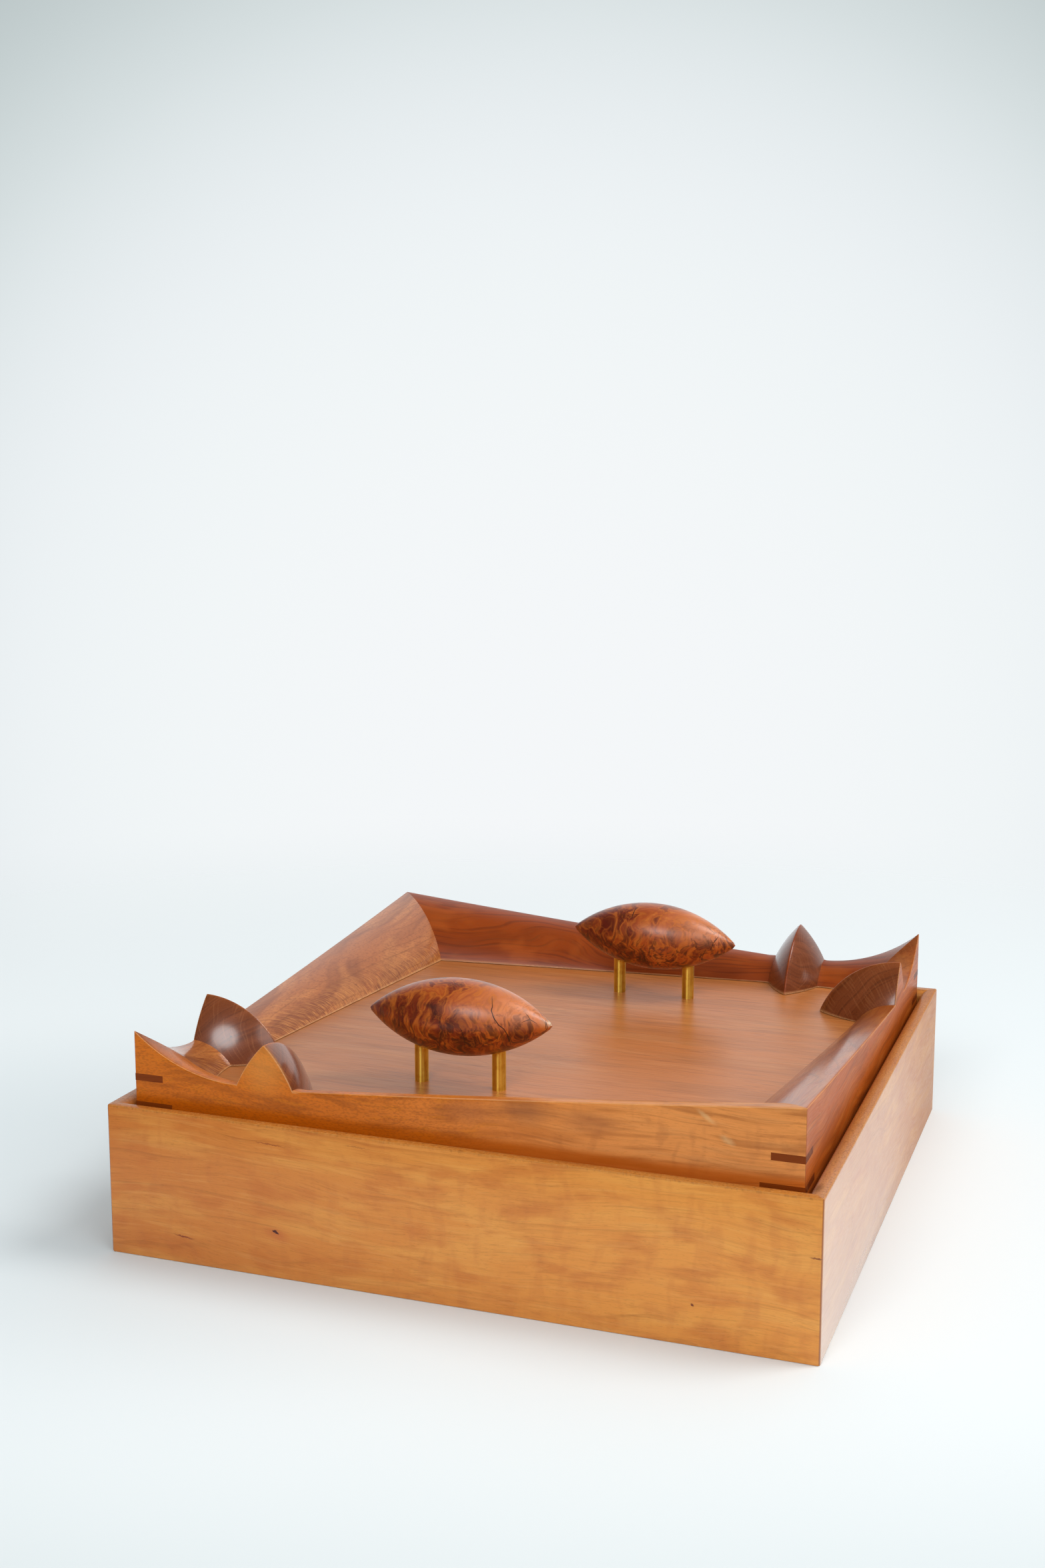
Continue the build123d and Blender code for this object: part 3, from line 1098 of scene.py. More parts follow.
@dataclass
class Base:
    """The box's base: four mitred walls, a bottom and the ledges that carry the lid."""

    half: float
    height: float
    wall: float
    rim_round: float = 5.5 * MM
    arris: float = 0.9 * MM
    corner: float = 1.6 * MM
    groove_low: float = 6.0 * MM
    groove_high: float = 12.0 * MM
    groove_deep: float = 4.0 * MM

    @classmethod
    def from_frame(cls) -> "Base":
        """Reads the base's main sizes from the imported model."""
        low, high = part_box("base_wall_front")
        return cls(half=high[0], height=high[2], wall=high[1] - low[1])

    def build(self, frame: dict) -> None:
        """Builds the walls, and dresses the bottom and the ledges.

        Args:
            frame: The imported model's frame.
        """
        for side, finish in WALLS.items():
            stand_for(self._wall(side, finish.material()), "base", "cherry", "base_wall_" + side.value)
        dress(frame["nodes"]["base_bottom"], HIDDEN.material())
        for side, grain in zip(Side, (Grain.ALONG_X, Grain.ALONG_X, Grain.ALONG_Y, Grain.ALONG_Y)):
            rubbed = HIDDEN.figures + (tint("#DDA56E", 0.35, Fade("Z", 70.6, 71.7)),)
            strip = replace(HIDDEN, name="cherry_ledge_" + side.value, grain=grain, figures=rubbed)
            dress(frame["nodes"]["lid_ledge_" + side.value], strip.material())

    def _wall(self, side: Side, material: bpy.types.Material) -> bpy.types.Object:
        """Builds one wall with mitred ends and softly rounded outer corners.

        Args:
            side: The side it stands on.
            material: Its wood.

        Returns:
            The wall.
        """
        made = bmesh.new()
        turns = 5
        loops = []
        for end in (-1, 1):
            for step in range(turns + 1) if end < 0 else range(turns, -1, -1):
                angle = math.pi / 4 * (1 - step / turns)
                loops.append([self._corner(side, end, angle, inward, up) for inward, up in self._section()])
        fill_between(made, loops)
        return piece_from(made, "wall_" + side.value, material)

    def _section(self) -> Section:
        """Works out the outline of a wall.

        Returns:
            Inward and upward places, from the foot of the outer face round to the foot of the inner one.
        """
        ease, middle = self.arris, self.arris * EASE_MIDDLE
        points = [(ease, 0.0), (middle, middle), (0.0, ease), (0.0, self.height - ease)]
        points += [(middle, self.height - middle), (ease, self.height)]
        steps = 10
        centre = (self.wall - self.rim_round, self.height - self.rim_round)
        for step in range(steps + 1):
            angle = math.pi / 2 * (1 - step / steps)
            reach = self.rim_round * math.cos(angle)
            points.append((centre[0] + reach, centre[1] + self.rim_round * math.sin(angle)))
        inner_groove = self.wall - self.groove_deep
        points += [(self.wall, self.groove_high), (inner_groove, self.groove_high)]
        points += [(inner_groove, self.groove_low), (self.wall, self.groove_low), (self.wall, 0.0)]
        return points

    def _corner(self, side: Side, end: int, angle: float, inward: float, up: float) -> Point:
        """Works out one point of a wall's end loop, on the rounded outer corner.

        Args:
            side: The side that the wall stands on.
            end: -1 for one end and 1 for the other.
            angle: How far round the outer corner the loop stands.
            inward: The point's distance from the outer face.
            up: Its height.

        Returns:
            The point.
        """
        reach = self.corner - inward
        if reach <= 0:
            along, out = self.half - inward, self.half - inward
        else:
            along = self.half - self.corner + reach * math.sin(angle)
            out = self.half - self.corner + reach * math.cos(angle)
        return turned(side, end * along, out, up)


@dataclass
class QuarteredRails:
    """The lid's rails: quarters of a turned spindle with a taper, a fin and a horn, mitred at both ends.

    Places along a rail run from its plain end; places inward run from its outer face.
    """

    half: float
    underside: float
    panel_top: float
    panel_low: float
    crown: float
    loss: float = 1.2 * MM
    waist: float = 31.6 * MM
    taper_sag: float = 0.8 * MM
    fin_from_corner: float = 80.4 * MM
    fin_thick: float = 47.0 * MM
    groove: float = 16.0 * MM
    reveal: float = 0.35 * MM
    ease: float = 0.5 * MM
    ridge_ease: float = 0.5 * MM
    worn_wide: float = 1.0 * MM

    def __post_init__(self) -> None:
        """Works out the lens and the arcs that the radius follows."""
        half_thick = self.fin_thick / 2
        self.side = 2 * self.half
        self.lens = (self.crown ** 2 + half_thick ** 2) / (2 * half_thick)
        self.lens_back = self.lens - half_thick
        self.fin_middle = self.side - self.fin_from_corner
        foot = math.sqrt(self.lens ** 2 - self.waist ** 2) - self.lens_back
        self.near_foot = self.fin_middle - foot
        self.far_foot = self.fin_middle + foot
        rise = self.crown - self.waist
        run = self.side - self.far_foot
        self.cove = (run ** 2 + rise ** 2) / (2 * rise)

    @classmethod
    def from_frame(cls) -> "QuarteredRails":
        """Reads the lid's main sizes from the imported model.

        Returns:
            The rails.
        """
        low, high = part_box("lid_rail_front")
        panel_low, panel_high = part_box("lid_panel")
        rise = high[2] - low[2] + cls.loss
        return cls(high[0], low[2], panel_high[2], panel_low[2], math.hypot(rise, cls.loss))

    def radius(self, along: float) -> float:
        """Works out the turned radius.

        Args:
            along: The place along the rail.

        Returns:
            The radius there, on the taper, the fin or the cove.
        """
        if along < self.near_foot:
            share = along / self.near_foot
            straight = self.crown + (self.waist - self.crown) * share
            return straight - 4 * self.taper_sag * share * (1 - share)
        if along > self.far_foot:
            run = min(along, self.side) - self.far_foot
            return self.waist + self.cove - math.sqrt(self.cove ** 2 - run ** 2)
        off = math.hypot(along - self.fin_middle, self.ridge_ease) - self.ridge_ease * 0.4
        return math.sqrt(max(self.lens ** 2 - (off + self.lens_back) ** 2, (self.waist * 0.99) ** 2))

    def _stations(self) -> list[float]:
        """Works out where along the rail a section is made.

        Returns:
            The places, closest together on the fin and the horn.
        """
        eased = [self.ease * share for share in (0.3, 0.45, 0.65, 0.85, 1.0)]
        places = eased + [self.side - place for place in eased]
        steps = 60
        places += [self.near_foot * step / steps for step in range(1, steps + 1)]
        steps = 24
        half_fin = self.fin_middle - self.near_foot
        for step in range(1, steps + 1):
            share = math.sin(math.pi / 2 * step / steps)
            places.append(self.near_foot + half_fin * share)
            places.append(self.far_foot - half_fin * share)
        steps = 34
        run = self.side - self.far_foot
        places += [self.far_foot + run * step / steps for step in range(steps)]
        return sorted(set(round(place, 7) for place in places))

    def _section(self, along: float) -> Section:
        """Works out the rail's outline.

        Args:
            along: The place along the rail.

        Returns:
            The outer face, the turned face, the groove and the underside, as inward and upward places.
        """
        turned_radius = self.radius(along)
        ease, middle = self.ease, self.ease * EASE_MIDDLE
        from_end = min(along, self.side - along)
        start = ease - math.sqrt(max(ease ** 2 - (ease - from_end) ** 2, 0.0)) if from_end < ease else 0.0
        top = math.sqrt(turned_radius ** 2 - (ease + self.loss) ** 2) - self.loss
        points = [(start + ease, 0.0), (start + middle, middle), (start, ease)]
        points += [(start, ease + self.worn_wide), (start, top - ease - self.worn_wide)]
        points += [(start, top - ease), (start + middle, top - middle)]
        shoulder = self.panel_top + self.reveal - self.underside
        lip = self.panel_low - self.underside
        points += self._arc(turned_radius, top, shoulder, 30)
        points += [(self.groove, shoulder), (self.groove, lip)]
        return points + self._arc(turned_radius, lip, 0.0, 8)

    def _arc(self, turned_radius: float, high: float, low: float, steps: int) -> Section:
        """Works out points on the turned face, evenly spaced round the axis.

        Args:
            turned_radius: The face's radius.
            high: The height of the first point.
            low: The height of the last one.
            steps: How many steps lie between them.

        Returns:
            The points.
        """
        first = math.acos(min((high + self.loss) / turned_radius, 1.0))
        last = math.acos((low + self.loss) / turned_radius)
        points = []
        for step in range(steps + 1):
            angle = first + (last - first) * step / steps
            inward = turned_radius * math.sin(angle) - self.loss
            points.append((inward, turned_radius * math.cos(angle) - self.loss))
        return points

    def _place(self, side: Side, along: float, inward: float, up: float) -> Point:
        """Puts a rail's own point into the frame; left and right rails are of the other hand."""
        hand = -1 if side in (Side.LEFT, Side.RIGHT) else 1
        return turned(side, hand * (self.half - along), self.half - inward, self.underside + up)

    def build(self, side: Side, material: bpy.types.Material) -> bpy.types.Object:
        """Builds one rail.

        Args:
            side: The side it stands on.
            material: Its wood.

        Returns:
            The rail, without its key slots.
        """
        made = bmesh.new()
        stations = self._stations()
        fill_between(made, [[(along, *point) for point in self._section(along)] for along in stations])
        for origin, normal in (((0, 0, 0), (-1, 1, 0)), ((self.side, 0, 0), (1, 1, 0))):
            everything = list(made.verts) + list(made.edges) + list(made.faces)
            cut = bmesh.ops.bisect_plane(
                made, geom=everything, plane_co=origin, plane_no=normal, clear_outer=True, dist=0.0001 * MM
            )
            rim = [item for item in cut["geom_cut"] if isinstance(item, bmesh.types.BMEdge)]
            bmesh.ops.contextual_create(made, geom=rim)
        for vertex in made.verts:
            vertex.co = Vector(self._place(side, *vertex.co))
        return piece_from(made, "rail_" + side.value, material)


@dataclass
class SizedTree:
    """A geometry tree with one number input for each of its sizes."""

    name: str
    sizes: dict[str, float]

    def __post_init__(self) -> None:
        """Makes the tree with its sockets."""
        self.tree = bpy.data.node_groups.new(self.name, "GeometryNodeTree")
        for way in ("OUTPUT", "INPUT"):
            self.tree.interface.new_socket("Geometry", in_out=way, socket_type="NodeSocketGeometry")
        self.sockets = {}
        for label in self.sizes:
            made = self.tree.interface.new_socket(label, in_out="INPUT", socket_type="NodeSocketFloat")
            self.sockets[label] = made.identifier
        self.inputs = add_node(self.tree, "NodeGroupInput").outputs

    def run(
        self, mesh: bpy.types.Mesh, name: str, instances: Node, material: bpy.types.Material | None
    ) -> bpy.types.Object:
        """Runs the tree and keeps the mesh that it makes.

        Args:
            mesh: The mesh that it starts from.
            name: The name of the piece.
            instances: The node that sets the instances.
            material: The instances' material, or None.

        Returns:
            The piece.
        """
        real = add_node(self.tree, "GeometryNodeRealizeInstances", {0: instances})
        dressed = add_node(self.tree, "GeometryNodeSetMaterial", {"Geometry": real, "Material": material})
        add_node(self.tree, "NodeGroupOutput", {0: dressed})
        piece = bpy.data.objects.new(name, mesh)
        bpy.context.scene.collection.objects.link(piece)
        maker = piece.modifiers.new(self.name, "NODES")
        maker.node_group = self.tree
        for label, value in self.sizes.items():
            maker[self.sockets[label]] = value
        evaluated_piece(piece)
        return piece


@dataclass
class CornerKeys:
    """Dark wooden keys let into slots across the lid's mitres, two at each corner."""

    half: float
    underside: float
    thick: float = 4.0 * MM
    lower_leg: float = 22.8 * MM
    lower_raise: float = 10.0 * MM
    upper_leg: float = 17.4 * MM
    upper_raise: float = 26.0 * MM
    overcut: float = 0.5 * MM

    def levels(self) -> tuple[tuple[str, float, float], ...]:
        """The name, leg and raise of both rows of keys."""
        lower = ("lower", self.lower_leg, self.lower_raise)
        return (lower, ("upper", self.upper_leg, self.upper_raise))

    def build(self, name: str, leg: float, raised: float, grow: float = 0.0) -> bpy.types.Object:
        """Builds the four keys of one height with Geometry Nodes.

        Args:
            name: The piece's name.
            leg: The length of a key's two outer edges.
            raised: The height of the keys' undersides over the lid's underside.
            grow: How far they run out past the lid's faces, for cutting the slots.

        Returns:
            The four keys as one piece.
        """
        sizes = {
            "Corner": self.half + grow,
            "Leg": leg + 2 * grow,
            "Level": self.underside + raised,
            "Thickness": self.thick,
        }
        nodes = SizedTree(name, sizes)
        group, inputs = nodes.tree, nodes.inputs
        # A triangle whose three points are set by their number: the corner, and one leg away each way.
        flat = add_node(group, "GeometryNodeMeshCircle", {"Vertices": 3}, fill_type="NGON")
        number = add_node(group, "GeometryNodeInputIndex")
        inward = add_node(group, MATH, {0: inputs["Corner"], 1: -1.0}, operation="MULTIPLY")
        spots = []
        for wanted in (1.0, 2.0):
            same = add_node(group, MATH, {0: number, 1: wanted, 2: 0.1}, operation="COMPARE")
            spot = {0: same, 1: inputs["Leg"], 2: inward}
            spots.append(add_node(group, MATH, spot, operation="MULTIPLY_ADD"))
        place = add_node(group, JOIN, {0: spots[0], 1: spots[1], 2: inputs["Level"]})
        corner = add_node(group, "GeometryNodeSetPosition", {"Geometry": flat, "Position": place})
        upward = add_node(group, JOIN, {2: inputs["Thickness"]})
        lifted = {"Mesh": corner, "Offset": upward, "Individual": False}
        solid = add_node(group, "GeometryNodeExtrudeMesh", lifted)
        closed = add_node(group, "GeometryNodeJoinGeometry")
        for part in (add_node(group, "GeometryNodeFlipFaces", {0: corner}), solid):
            group.links.new(part.outputs[0], closed.inputs[0])
        welded = add_node(group, "GeometryNodeMergeByDistance", {0: closed, "Distance": 0.01 * MM})
        around = add_node(group, "GeometryNodePoints", {"Count": 4})
        quarter = add_node(group, MATH, {0: number, 1: math.pi / 2}, operation="MULTIPLY")
        turn = add_node(group, JOIN, {2: quarter})
        set_round = {"Points": around, "Instance": welded, "Rotation": turn}
        keys = add_node(group, "GeometryNodeInstanceOnPoints", set_round)
        wood = WALNUT.material() if grow == 0 else None
        return nodes.run(bpy.data.meshes.new(name), name, keys, wood)

    def cut_slots(self, rail: bpy.types.Object) -> None:
        """Cuts the key slots out of a rail.

        Args:
            rail: The rail.
        """
        wood = rail.data.materials[0]
        for level, leg, raised in self.levels():
            cutter = self.build(level + "_slots", leg, raised, self.overcut)
            trim = rail.modifiers.new(level, "BOOLEAN")
            trim.operation = "DIFFERENCE"
            trim.solver = "EXACT"
            trim.object = cutter
            evaluated_piece(rail)
            bpy.data.objects.remove(cutter)
        rail.data.materials.clear()
        rail.data.materials.append(wood)
        smooth_piece(rail)


@dataclass
class Handle:
    """A lens-shaped handle turned from burl, lying along X on two brass rods."""

    place: str
    tilt: float
    cracks: tuple[tuple[float, tuple[tuple[float, float], ...]], ...]
    marks: tuple[Mark, ...] = ()
    length: float = 110.4 * MM
    thick: float = 43.5 * MM
    tip: float = 1.6 * MM
    long_steps: int = 150
    round_steps: int = 140

    def __post_init__(self) -> None:
        """Reads the handle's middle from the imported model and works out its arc."""
        low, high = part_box("handle_" + self.place)
        self.middle = tuple((a + b) / 2 for a, b in zip(low, high))
        self.bulge = (self.thick - self.tip) / 2
        self.arc = ((self.length / 2) ** 2 + self.bulge ** 2) / (2 * self.bulge)

    def reach(self, along: float) -> float:
        """Works out the turned radius, blunted at the tips.

        Args:
            along: The place along the handle, from its middle.

        Returns:
            The radius there.
        """
        near_tip = self.length / 2 - abs(along)
        blunt = self.tip / 2
        if near_tip < blunt:
            return math.sqrt(max(blunt ** 2 - (blunt - near_tip) ** 2, 0.0))
        return math.sqrt(self.arc ** 2 - along ** 2) - (self.arc - self.bulge) + blunt

    def _on_face(self, along: float, angle: float) -> Vector:
        """A point on the turned face, its angle counted upward from the front."""
        reach = self.reach(along)
        return Vector((along, -reach * math.cos(angle), reach * math.sin(angle)))

    def build(self, material: bpy.types.Material) -> bpy.types.Object:
        """Builds the handle's turned body, with its cracks written on the mesh.

        Args:
            material: Its burl.

        Returns:
            The body.
        """
        made = bmesh.new()
        angles = [2 * math.pi * turn / self.round_steps for turn in range(self.round_steps)]
        loops = []
        for step in range(1, self.long_steps):
            along = -self.length / 2 * math.cos(math.pi * step / self.long_steps)
            loops.append([self._on_face(along, angle) for angle in angles])
        fill_between(made, loops)
        layer = made.verts.layers.float_vector.new(CRACK_ATTRIBUTE)
        paths = self._crack_paths()
        for vertex in made.verts:
            vertex[layer] = self._crack_at(vertex.co, paths)
        for vertex in made.verts:
            vertex.co = self._placed(vertex.co)
        return piece_from(made, "burl_handle_" + self.place, material)

    def _crack_paths(self) -> list[tuple[float, list[Vector]]]:
        """Works out where the cracks run.

        Returns:
            Each crack's half width in millimetres and its points on the turned face.
        """
        paths = []
        for half_width, path in self.cracks:
            points = [self._on_face(along_mm * MM, math.radians(degrees)) for along_mm, degrees in path]
            paths.append((half_width, points))
        return paths

    def _crack_at(self, point: Vector, paths: list[tuple[float, list[Vector]]]) -> Vector:
        """How far a point is from the nearest crack.

        Args:
            point: A point on the turned face.
            paths: The cracks from _crack_paths.

        Returns:
            The distance in millimetres, with a sign for the side of the crack, and the crack's half width
            there, which falls below zero past its ends.
        """
        nearest = Vector((9.0, -1.0, 0.0))
        outward = Vector((0.0, point.y, point.z)).normalized()
        for half_width, path in paths:
            total = len(path) - 1
            for number, (start, end) in enumerate(zip(path, path[1:])):
                run = end - start
                share = (point - start).dot(run) / run.length_squared
                held = min(max(share, 0.0), 1.0)
                gap = point - (start + run * held)
                size = gap.length / MM
                if size >= abs(nearest.x):
                    continue
                side = 1.0 if run.cross(gap).dot(outward) > 0 else -1.0
                progress = (number + share) / total
                fullness = 1.0 - (2 * progress - 1.0) ** 4
                nearest = Vector((side * size, half_width * fullness, 0.0))
        return nearest

    def _placed(self, point: Vector) -> Vector:
        """Turns a point of the body by the handle's tilt and moves it to its place.

        Args:
            point: The point, from the handle's middle.

        Returns:
            The point in the frame.
        """
        cosine, sine = math.cos(self.tilt), math.sin(self.tilt)
        tilted = Vector((point.x * cosine + point.z * sine, point.y, point.z * cosine - point.x * sine))
        return Vector(self.middle) + tilted


@dataclass
class Rods:
    """The four brass rods that hold the handles over the panel."""

    round_steps: int = 64

    def build(self, material: bpy.types.Material) -> None:
        """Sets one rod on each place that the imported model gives, with Geometry Nodes.

        Args:
            material: The rods' brass.
        """
        names = ["handle_rod_" + corner for corner in CORNERS]
        boxes = [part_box(name) for name in names]
        feet = bpy.data.meshes.new("rods")
        feet.from_pydata([((a[0] + b[0]) / 2, (a[1] + b[1]) / 2, a[2]) for a, b in boxes], [], [])
        low, high = boxes[0]
        nodes = SizedTree("rods", {"Radius": (high[0] - low[0]) / 2, "Length": high[2] - low[2]})
        group, inputs = nodes.tree, nodes.inputs
        top = add_node(group, JOIN, {2: inputs["Length"]})
        line = add_node(group, "GeometryNodeCurvePrimitiveLine", {"Start": (0.0, 0.0, 0.0), "End": top})
        ring = {"Resolution": self.round_steps, "Radius": inputs["Radius"]}
        circle = add_node(group, "GeometryNodeCurvePrimitiveCircle", ring)
        swept = {"Curve": line, "Profile Curve": circle, "Fill Caps": True}
        rod = add_node(group, "GeometryNodeCurveToMesh", swept)
        stood = {"Points": inputs["Geometry"], "Instance": rod}
        rods = add_node(group, "GeometryNodeInstanceOnPoints", stood)
        piece = nodes.run(feet, "brass_rods", rods, material)
        smooth_piece(piece)
        stand_for(piece, "lid", "brass", *names)


# Each crack's half width in millimetres, then its points: millimetres along the handle, degrees up its face.
FRONT_CRACKS = (
    (
        0.22,
        ((23.0, 60), (24.9, 42), (24.7, 34), (26.7, 21), (29.5, 9))
        + ((32.3, 1), (33.9, -12), (34.6, -31), (34.3, -48)),
    ),
    (0.10, ((-2.4, 80), (-0.9, 75), (0.5, 70))),
    (0.12, ((7.5, 4), (9.5, -3), (10.5, -14), (10.9, -24), (9.3, -36))),
    (0.13, ((41.4, 51), (43.5, 43), (44.6, 34), (46.3, 29), (48.4, 21))),
    (0.10, ((44.6, 34), (43.4, 28), (41.0, 19))),
    (0.18, ((51.6, 71), (52.5, 35), (52.1, -20))),
)
BACK_CRACKS = (
    (0.22, ((-10.4, 69), (-11.4, 58), (-11.4, 50), (-11.6, 42))),
    (0.18, ((44.9, 45), (44.0, 28), (42.5, 12))),
    (0.18, ((43.4, 27), (42.4, 6), (41.2, -12))),
    (0.15, ((38.7, -6), (37.2, -22), (36.1, -35), (35.0, -58))),
    (0.12, ((36.5, 67), (39.8, 59), (42.5, 54))),
)
# Stains and pale sapwood on the front handle.
FRONT_HANDLE_MARKS = (
    Mark("#1E0A06", (-35.5, -127.0, 139.0), (7.0, 6.0, 2.2), 0.1, 0.6, 0.1),
    Mark("#C9A27C", (24.0, -109.5, 131.0), (6.5, 6.0, 3.6), 0.35, 0.75, 0.2),
    Mark("#D8BFA0", (28.5, -109.5, 130.5), (2.6, 3.0, 2.4), 0.0, 0.8, 0.3),
)


@dataclass
class Lid:
    """The lift-off lid: four quartered rails, their keys, a panel and two handles."""

    rails: QuarteredRails
    keys: CornerKeys

    @classmethod
    def from_frame(cls) -> "Lid":
        """Reads the lid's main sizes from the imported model."""
        rails = QuarteredRails.from_frame()
        return cls(rails, CornerKeys(rails.half, rails.underside))

    def build(self, frame: dict) -> None:
        """Builds the lid's pieces and dresses its panel.

        Args:
            frame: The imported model's frame.
        """
        for side, finish in RAILS.items():
            rail = self.rails.build(side, finish.material())
            self.keys.cut_slots(rail)
            stand_for(rail, "lid", "cherry", "lid_rail_" + side.value)
        for level, leg, raised in self.keys.levels():
            piece = self.keys.build("keys_" + level, leg, raised)
            nodes = ["lid_key_" + level + "_" + corner for corner in CORNERS]
            stand_for(piece, "lid", "dark_key_wood", *nodes)
        dress(frame["nodes"]["lid_panel"], PANEL.material())
        handles = (
            Handle("front", 0.0, FRONT_CRACKS, FRONT_HANDLE_MARKS),
            Handle("back", math.radians(2.0), BACK_CRACKS),
        )
        for handle, away in zip(handles, ((0.0, 0.0, 0.0), (60.0, -35.0, 20.0))):
            centre = tuple(value / MM for value in handle.middle)
            burl = OiledBurl("burl_" + handle.place, centre, away, handle.marks)
            stand_for(handle.build(burl.material()), "lid", "burl", "handle_" + handle.place)
        Rods().build(DrawnBrass("drawn_brass").material())


@dataclass(frozen=True)
class Softbox:
    """A round lamp with a cloth over it."""

    name: str
    place: Point
    wide: float
    tall: float
    watts: float

    def build(self) -> None:
        """Hangs the lamp, turned to the box."""
        data = bpy.data.lights.new(self.name, "AREA")
        data.shape = "ELLIPSE"
        data.size = self.wide
        data.size_y = self.tall
        data.energy = self.watts
        lamp = bpy.data.objects.new(self.name, data)
        lamp.location = self.place
        lamp.rotation_euler = Vector(self.place).to_track_quat("Z", "Y").to_euler()
        lamp.visible_camera = False
        bpy.context.scene.collection.objects.link(lamp)


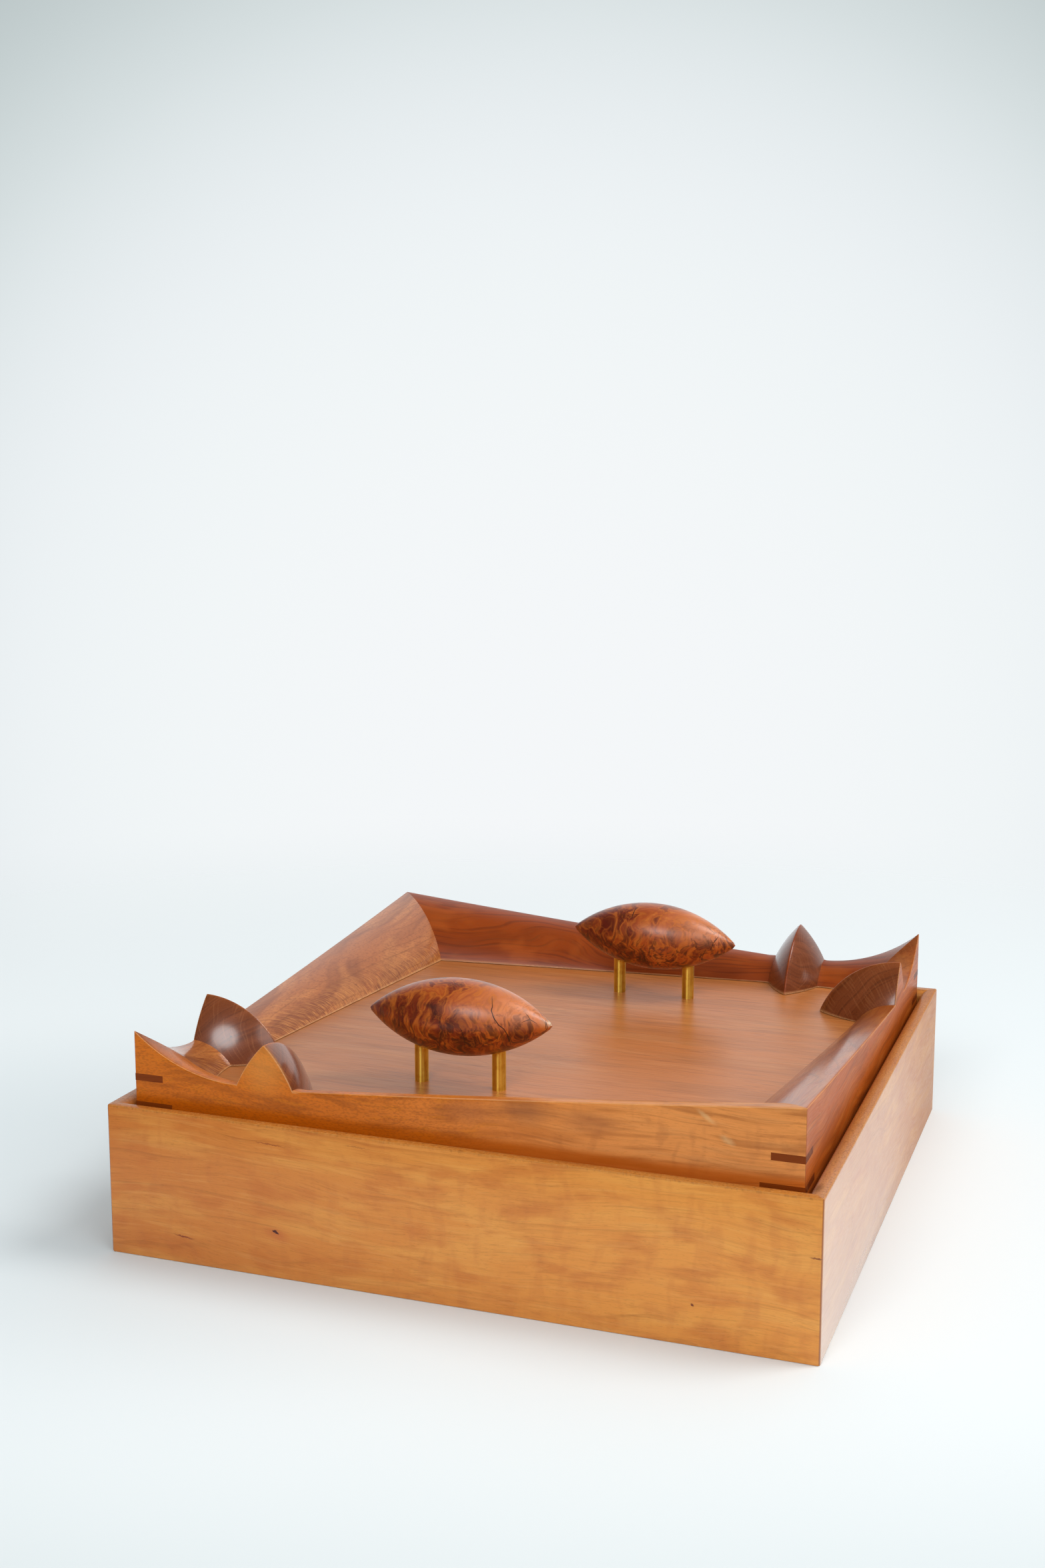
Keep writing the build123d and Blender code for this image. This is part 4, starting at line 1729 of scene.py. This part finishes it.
@dataclass(frozen=True)
class Studio:
    """A plain pale sweep, soft lamps and the camera of the photograph."""

    camera_at: Point = (0.35225, -1.03737, 0.42368)
    camera_left: float = 20.12
    camera_down: float = 9.19
    lens: float = 42.18
    backdrop: tuple[tuple[float, str], ...] = (
        (0.0, "#F5F7F9"),
        (0.22, "#F1F6F7"),
        (0.45, "#EBF0F3"),
        (0.70, "#D8E1E2"),
        (1.0, "#B6C1C2"),
    )
    # Where the backdrop glows, in degrees, and how bright the room behind the camera is.
    glow_heading: float = -18.9
    glow_down: float = 7.8
    room_glow: float = 0.06
    # Even light from all round, and how much more of it comes from the window side.
    even_light: float = 0.64
    one_sided: float = 0.45
    window: Point = (0.94, 0.34, 0.0)
    surround: str = "#F4F7F9"
    floor_reach: float = 1.3
    floor_clears_from: float = 0.42
    floor_colour: str = "#E9EFF0"
    # Painted shade on the floor: a darker part far from the box, and a painted shadow of the box on its left.
    # Each shade's middle, the distances from it where it starts and is full, and its colour.
    painted_floor_shades: tuple[tuple[Point, float, float, str], ...] = (
        ((-0.2, 0.6, 0.0), 0.92, 1.2, "#D3DBDC"),
        ((-0.32, -0.15, 0.0), 0.40, 0.10, "#DCE4E6"),
    )
    lamps: tuple[Softbox, ...] = (
        Softbox("front_softbox", (-0.105, -3.3, 2.3), 1.6, 1.35, 46.0),
        Softbox("side_softbox", (2.6, 0.85, 3.75), 2.0, 2.0, 82.0),
        Softbox("corner_softbox", (2.1, -1.85, 2.2), 1.6, 1.6, 14.0),
    )

    def build(self) -> None:
        """Builds the camera, the floor, the lamps and the pale surroundings."""
        self._camera()
        self._floor()
        for lamp in self.lamps:
            lamp.build()
        self._world()
        bpy.context.scene.view_settings.view_transform = "Standard"

    def _camera(self) -> None:
        """Places the camera."""
        data = bpy.data.cameras.new("photo_camera")
        data.sensor_width = 36.0
        data.lens = self.lens
        data.clip_end = 50.0
        camera = bpy.data.objects.new("photo_camera", data)
        camera.location = self.camera_at
        camera.rotation_euler = (math.radians(90 - self.camera_down), 0.0, math.radians(self.camera_left))
        bpy.context.scene.collection.objects.link(camera)
        bpy.context.scene.camera = camera

    def _floor(self) -> None:
        """Builds a round pale floor with painted shade far out and a painted shadow left of the box;
        the floor fades out into the backdrop.
        """
        made = bmesh.new()
        bmesh.ops.create_circle(made, cap_ends=True, segments=96, radius=self.floor_reach)
        material, tree, shader = new_material("pale_paper", Roughness=0.95, Specular_IOR_Level=0.0)
        place = add_node(tree, "ShaderNodeTexCoord").outputs["Object"]
        colour = linear(self.floor_colour)
        # Lays the painted shade far out and the painted shadow left of the box.
        for middle, start, full, shade in self.painted_floor_shades:
            off = add_node(tree, VECTOR, {0: place, 1: middle}, operation="SUBTRACT")
            distance = add_node(tree, VECTOR, {0: off}, operation="LENGTH")
            colour = lay(tree, colour, shade, distance, (start, full))
        plug(tree, shader, Base_Color=colour)
        far = add_node(tree, VECTOR, {0: place}, operation="LENGTH")
        start, edge = self.floor_clears_from, self.floor_reach * 0.98
        gone = add_node(tree, RANGE, {"Value": far, "From Min": start, "From Max": edge}, **SMOOTH)
        clear = add_node(tree, "ShaderNodeBsdfTransparent")
        mixed = add_node(tree, "ShaderNodeMixShader", {0: gone, 1: shader, 2: clear})
        output = next(node for node in tree.nodes if node.bl_idname == "ShaderNodeOutputMaterial")
        plug(tree, output, Surface=mixed)
        floor = piece_from(made, "floor", material)

    def _world(self) -> None:
        """Builds the surroundings: an even light, and a backdrop that glows behind the box."""
        world = bpy.data.worlds.new("pale_studio")
        world.use_nodes = True
        tree = world.node_tree
        tree.nodes.clear()
        look = add_node(tree, "ShaderNodeTexCoord").outputs["Generated"]
        heading, drop = math.radians(self.glow_heading), math.radians(self.glow_down)
        ahead = (math.sin(heading) * math.cos(drop), math.cos(heading) * math.cos(drop), -math.sin(drop))
        near = add_node(tree, VECTOR, {0: look, 1: ahead}, operation="DOT_PRODUCT")
        off = add_node(tree, RANGE, {"Value": near, "From Min": 1.0, "From Max": 0.89})
        shades = add_node(tree, "ShaderNodeValToRGB", {"Fac": off})
        fill_ramp(shades.color_ramp, self.backdrop)
        shades.color_ramp.interpolation = "B_SPLINE"
        path = add_node(tree, "ShaderNodeLightPath").outputs
        seen = add_node(tree, "ShaderNodeBackground", {"Color": shades, "Strength": 1.0})
        # The window side, to the right, lights the box more than the left does.
        side = add_node(tree, VECTOR, {0: look, 1: self.window}, operation="DOT_PRODUCT")
        # The room behind the camera is dim, so faces that look that way mirror little and keep their colour.
        limits = {"Value": near, "From Min": 0.25, "From Max": 0.85, "To Min": self.room_glow}
        room = add_node(tree, RANGE, limits, **SMOOTH)
        lit = {"Value": side, "From Min": -0.75, "From Max": -0.2, "To Min": 0.35}
        room = add_node(tree, MATH, {0: room, 1: add_node(tree, RANGE, lit, **SMOOTH)}, operation="MULTIPLY")
        pale = linear(self.surround)
        mirrored = add_node(tree, "ShaderNodeBackground", {"Color": pale, "Strength": room})
        even = {0: side, 1: self.one_sided, 2: self.even_light}
        even = add_node(tree, MATH, even, operation="MULTIPLY_ADD")
        around = add_node(tree, "ShaderNodeBackground", {"Color": pale, "Strength": even})
        clear = {0: path["Is Glossy Ray"], 1: path["Is Transmission Ray"]}
        shiny = add_node(tree, MATH, clear, operation="MAXIMUM")
        mixed = add_node(tree, "ShaderNodeMixShader", {0: shiny, 1: around, 2: mirrored})
        mixed = add_node(tree, "ShaderNodeMixShader", {0: path["Is Camera Ray"], 1: mixed, 2: seen})
        add_node(tree, "ShaderNodeOutputWorld", {"Surface": mixed})
        bpy.context.scene.world = world


def main() -> None:
    """Builds the whole scene in order."""
    logging.basicConfig(level=logging.INFO, format="%(message)s")
    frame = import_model()
    Studio().build()
    Base.from_frame().build(frame)
    Lid.from_frame().build(frame)


if __name__ == "__main__":
    main()
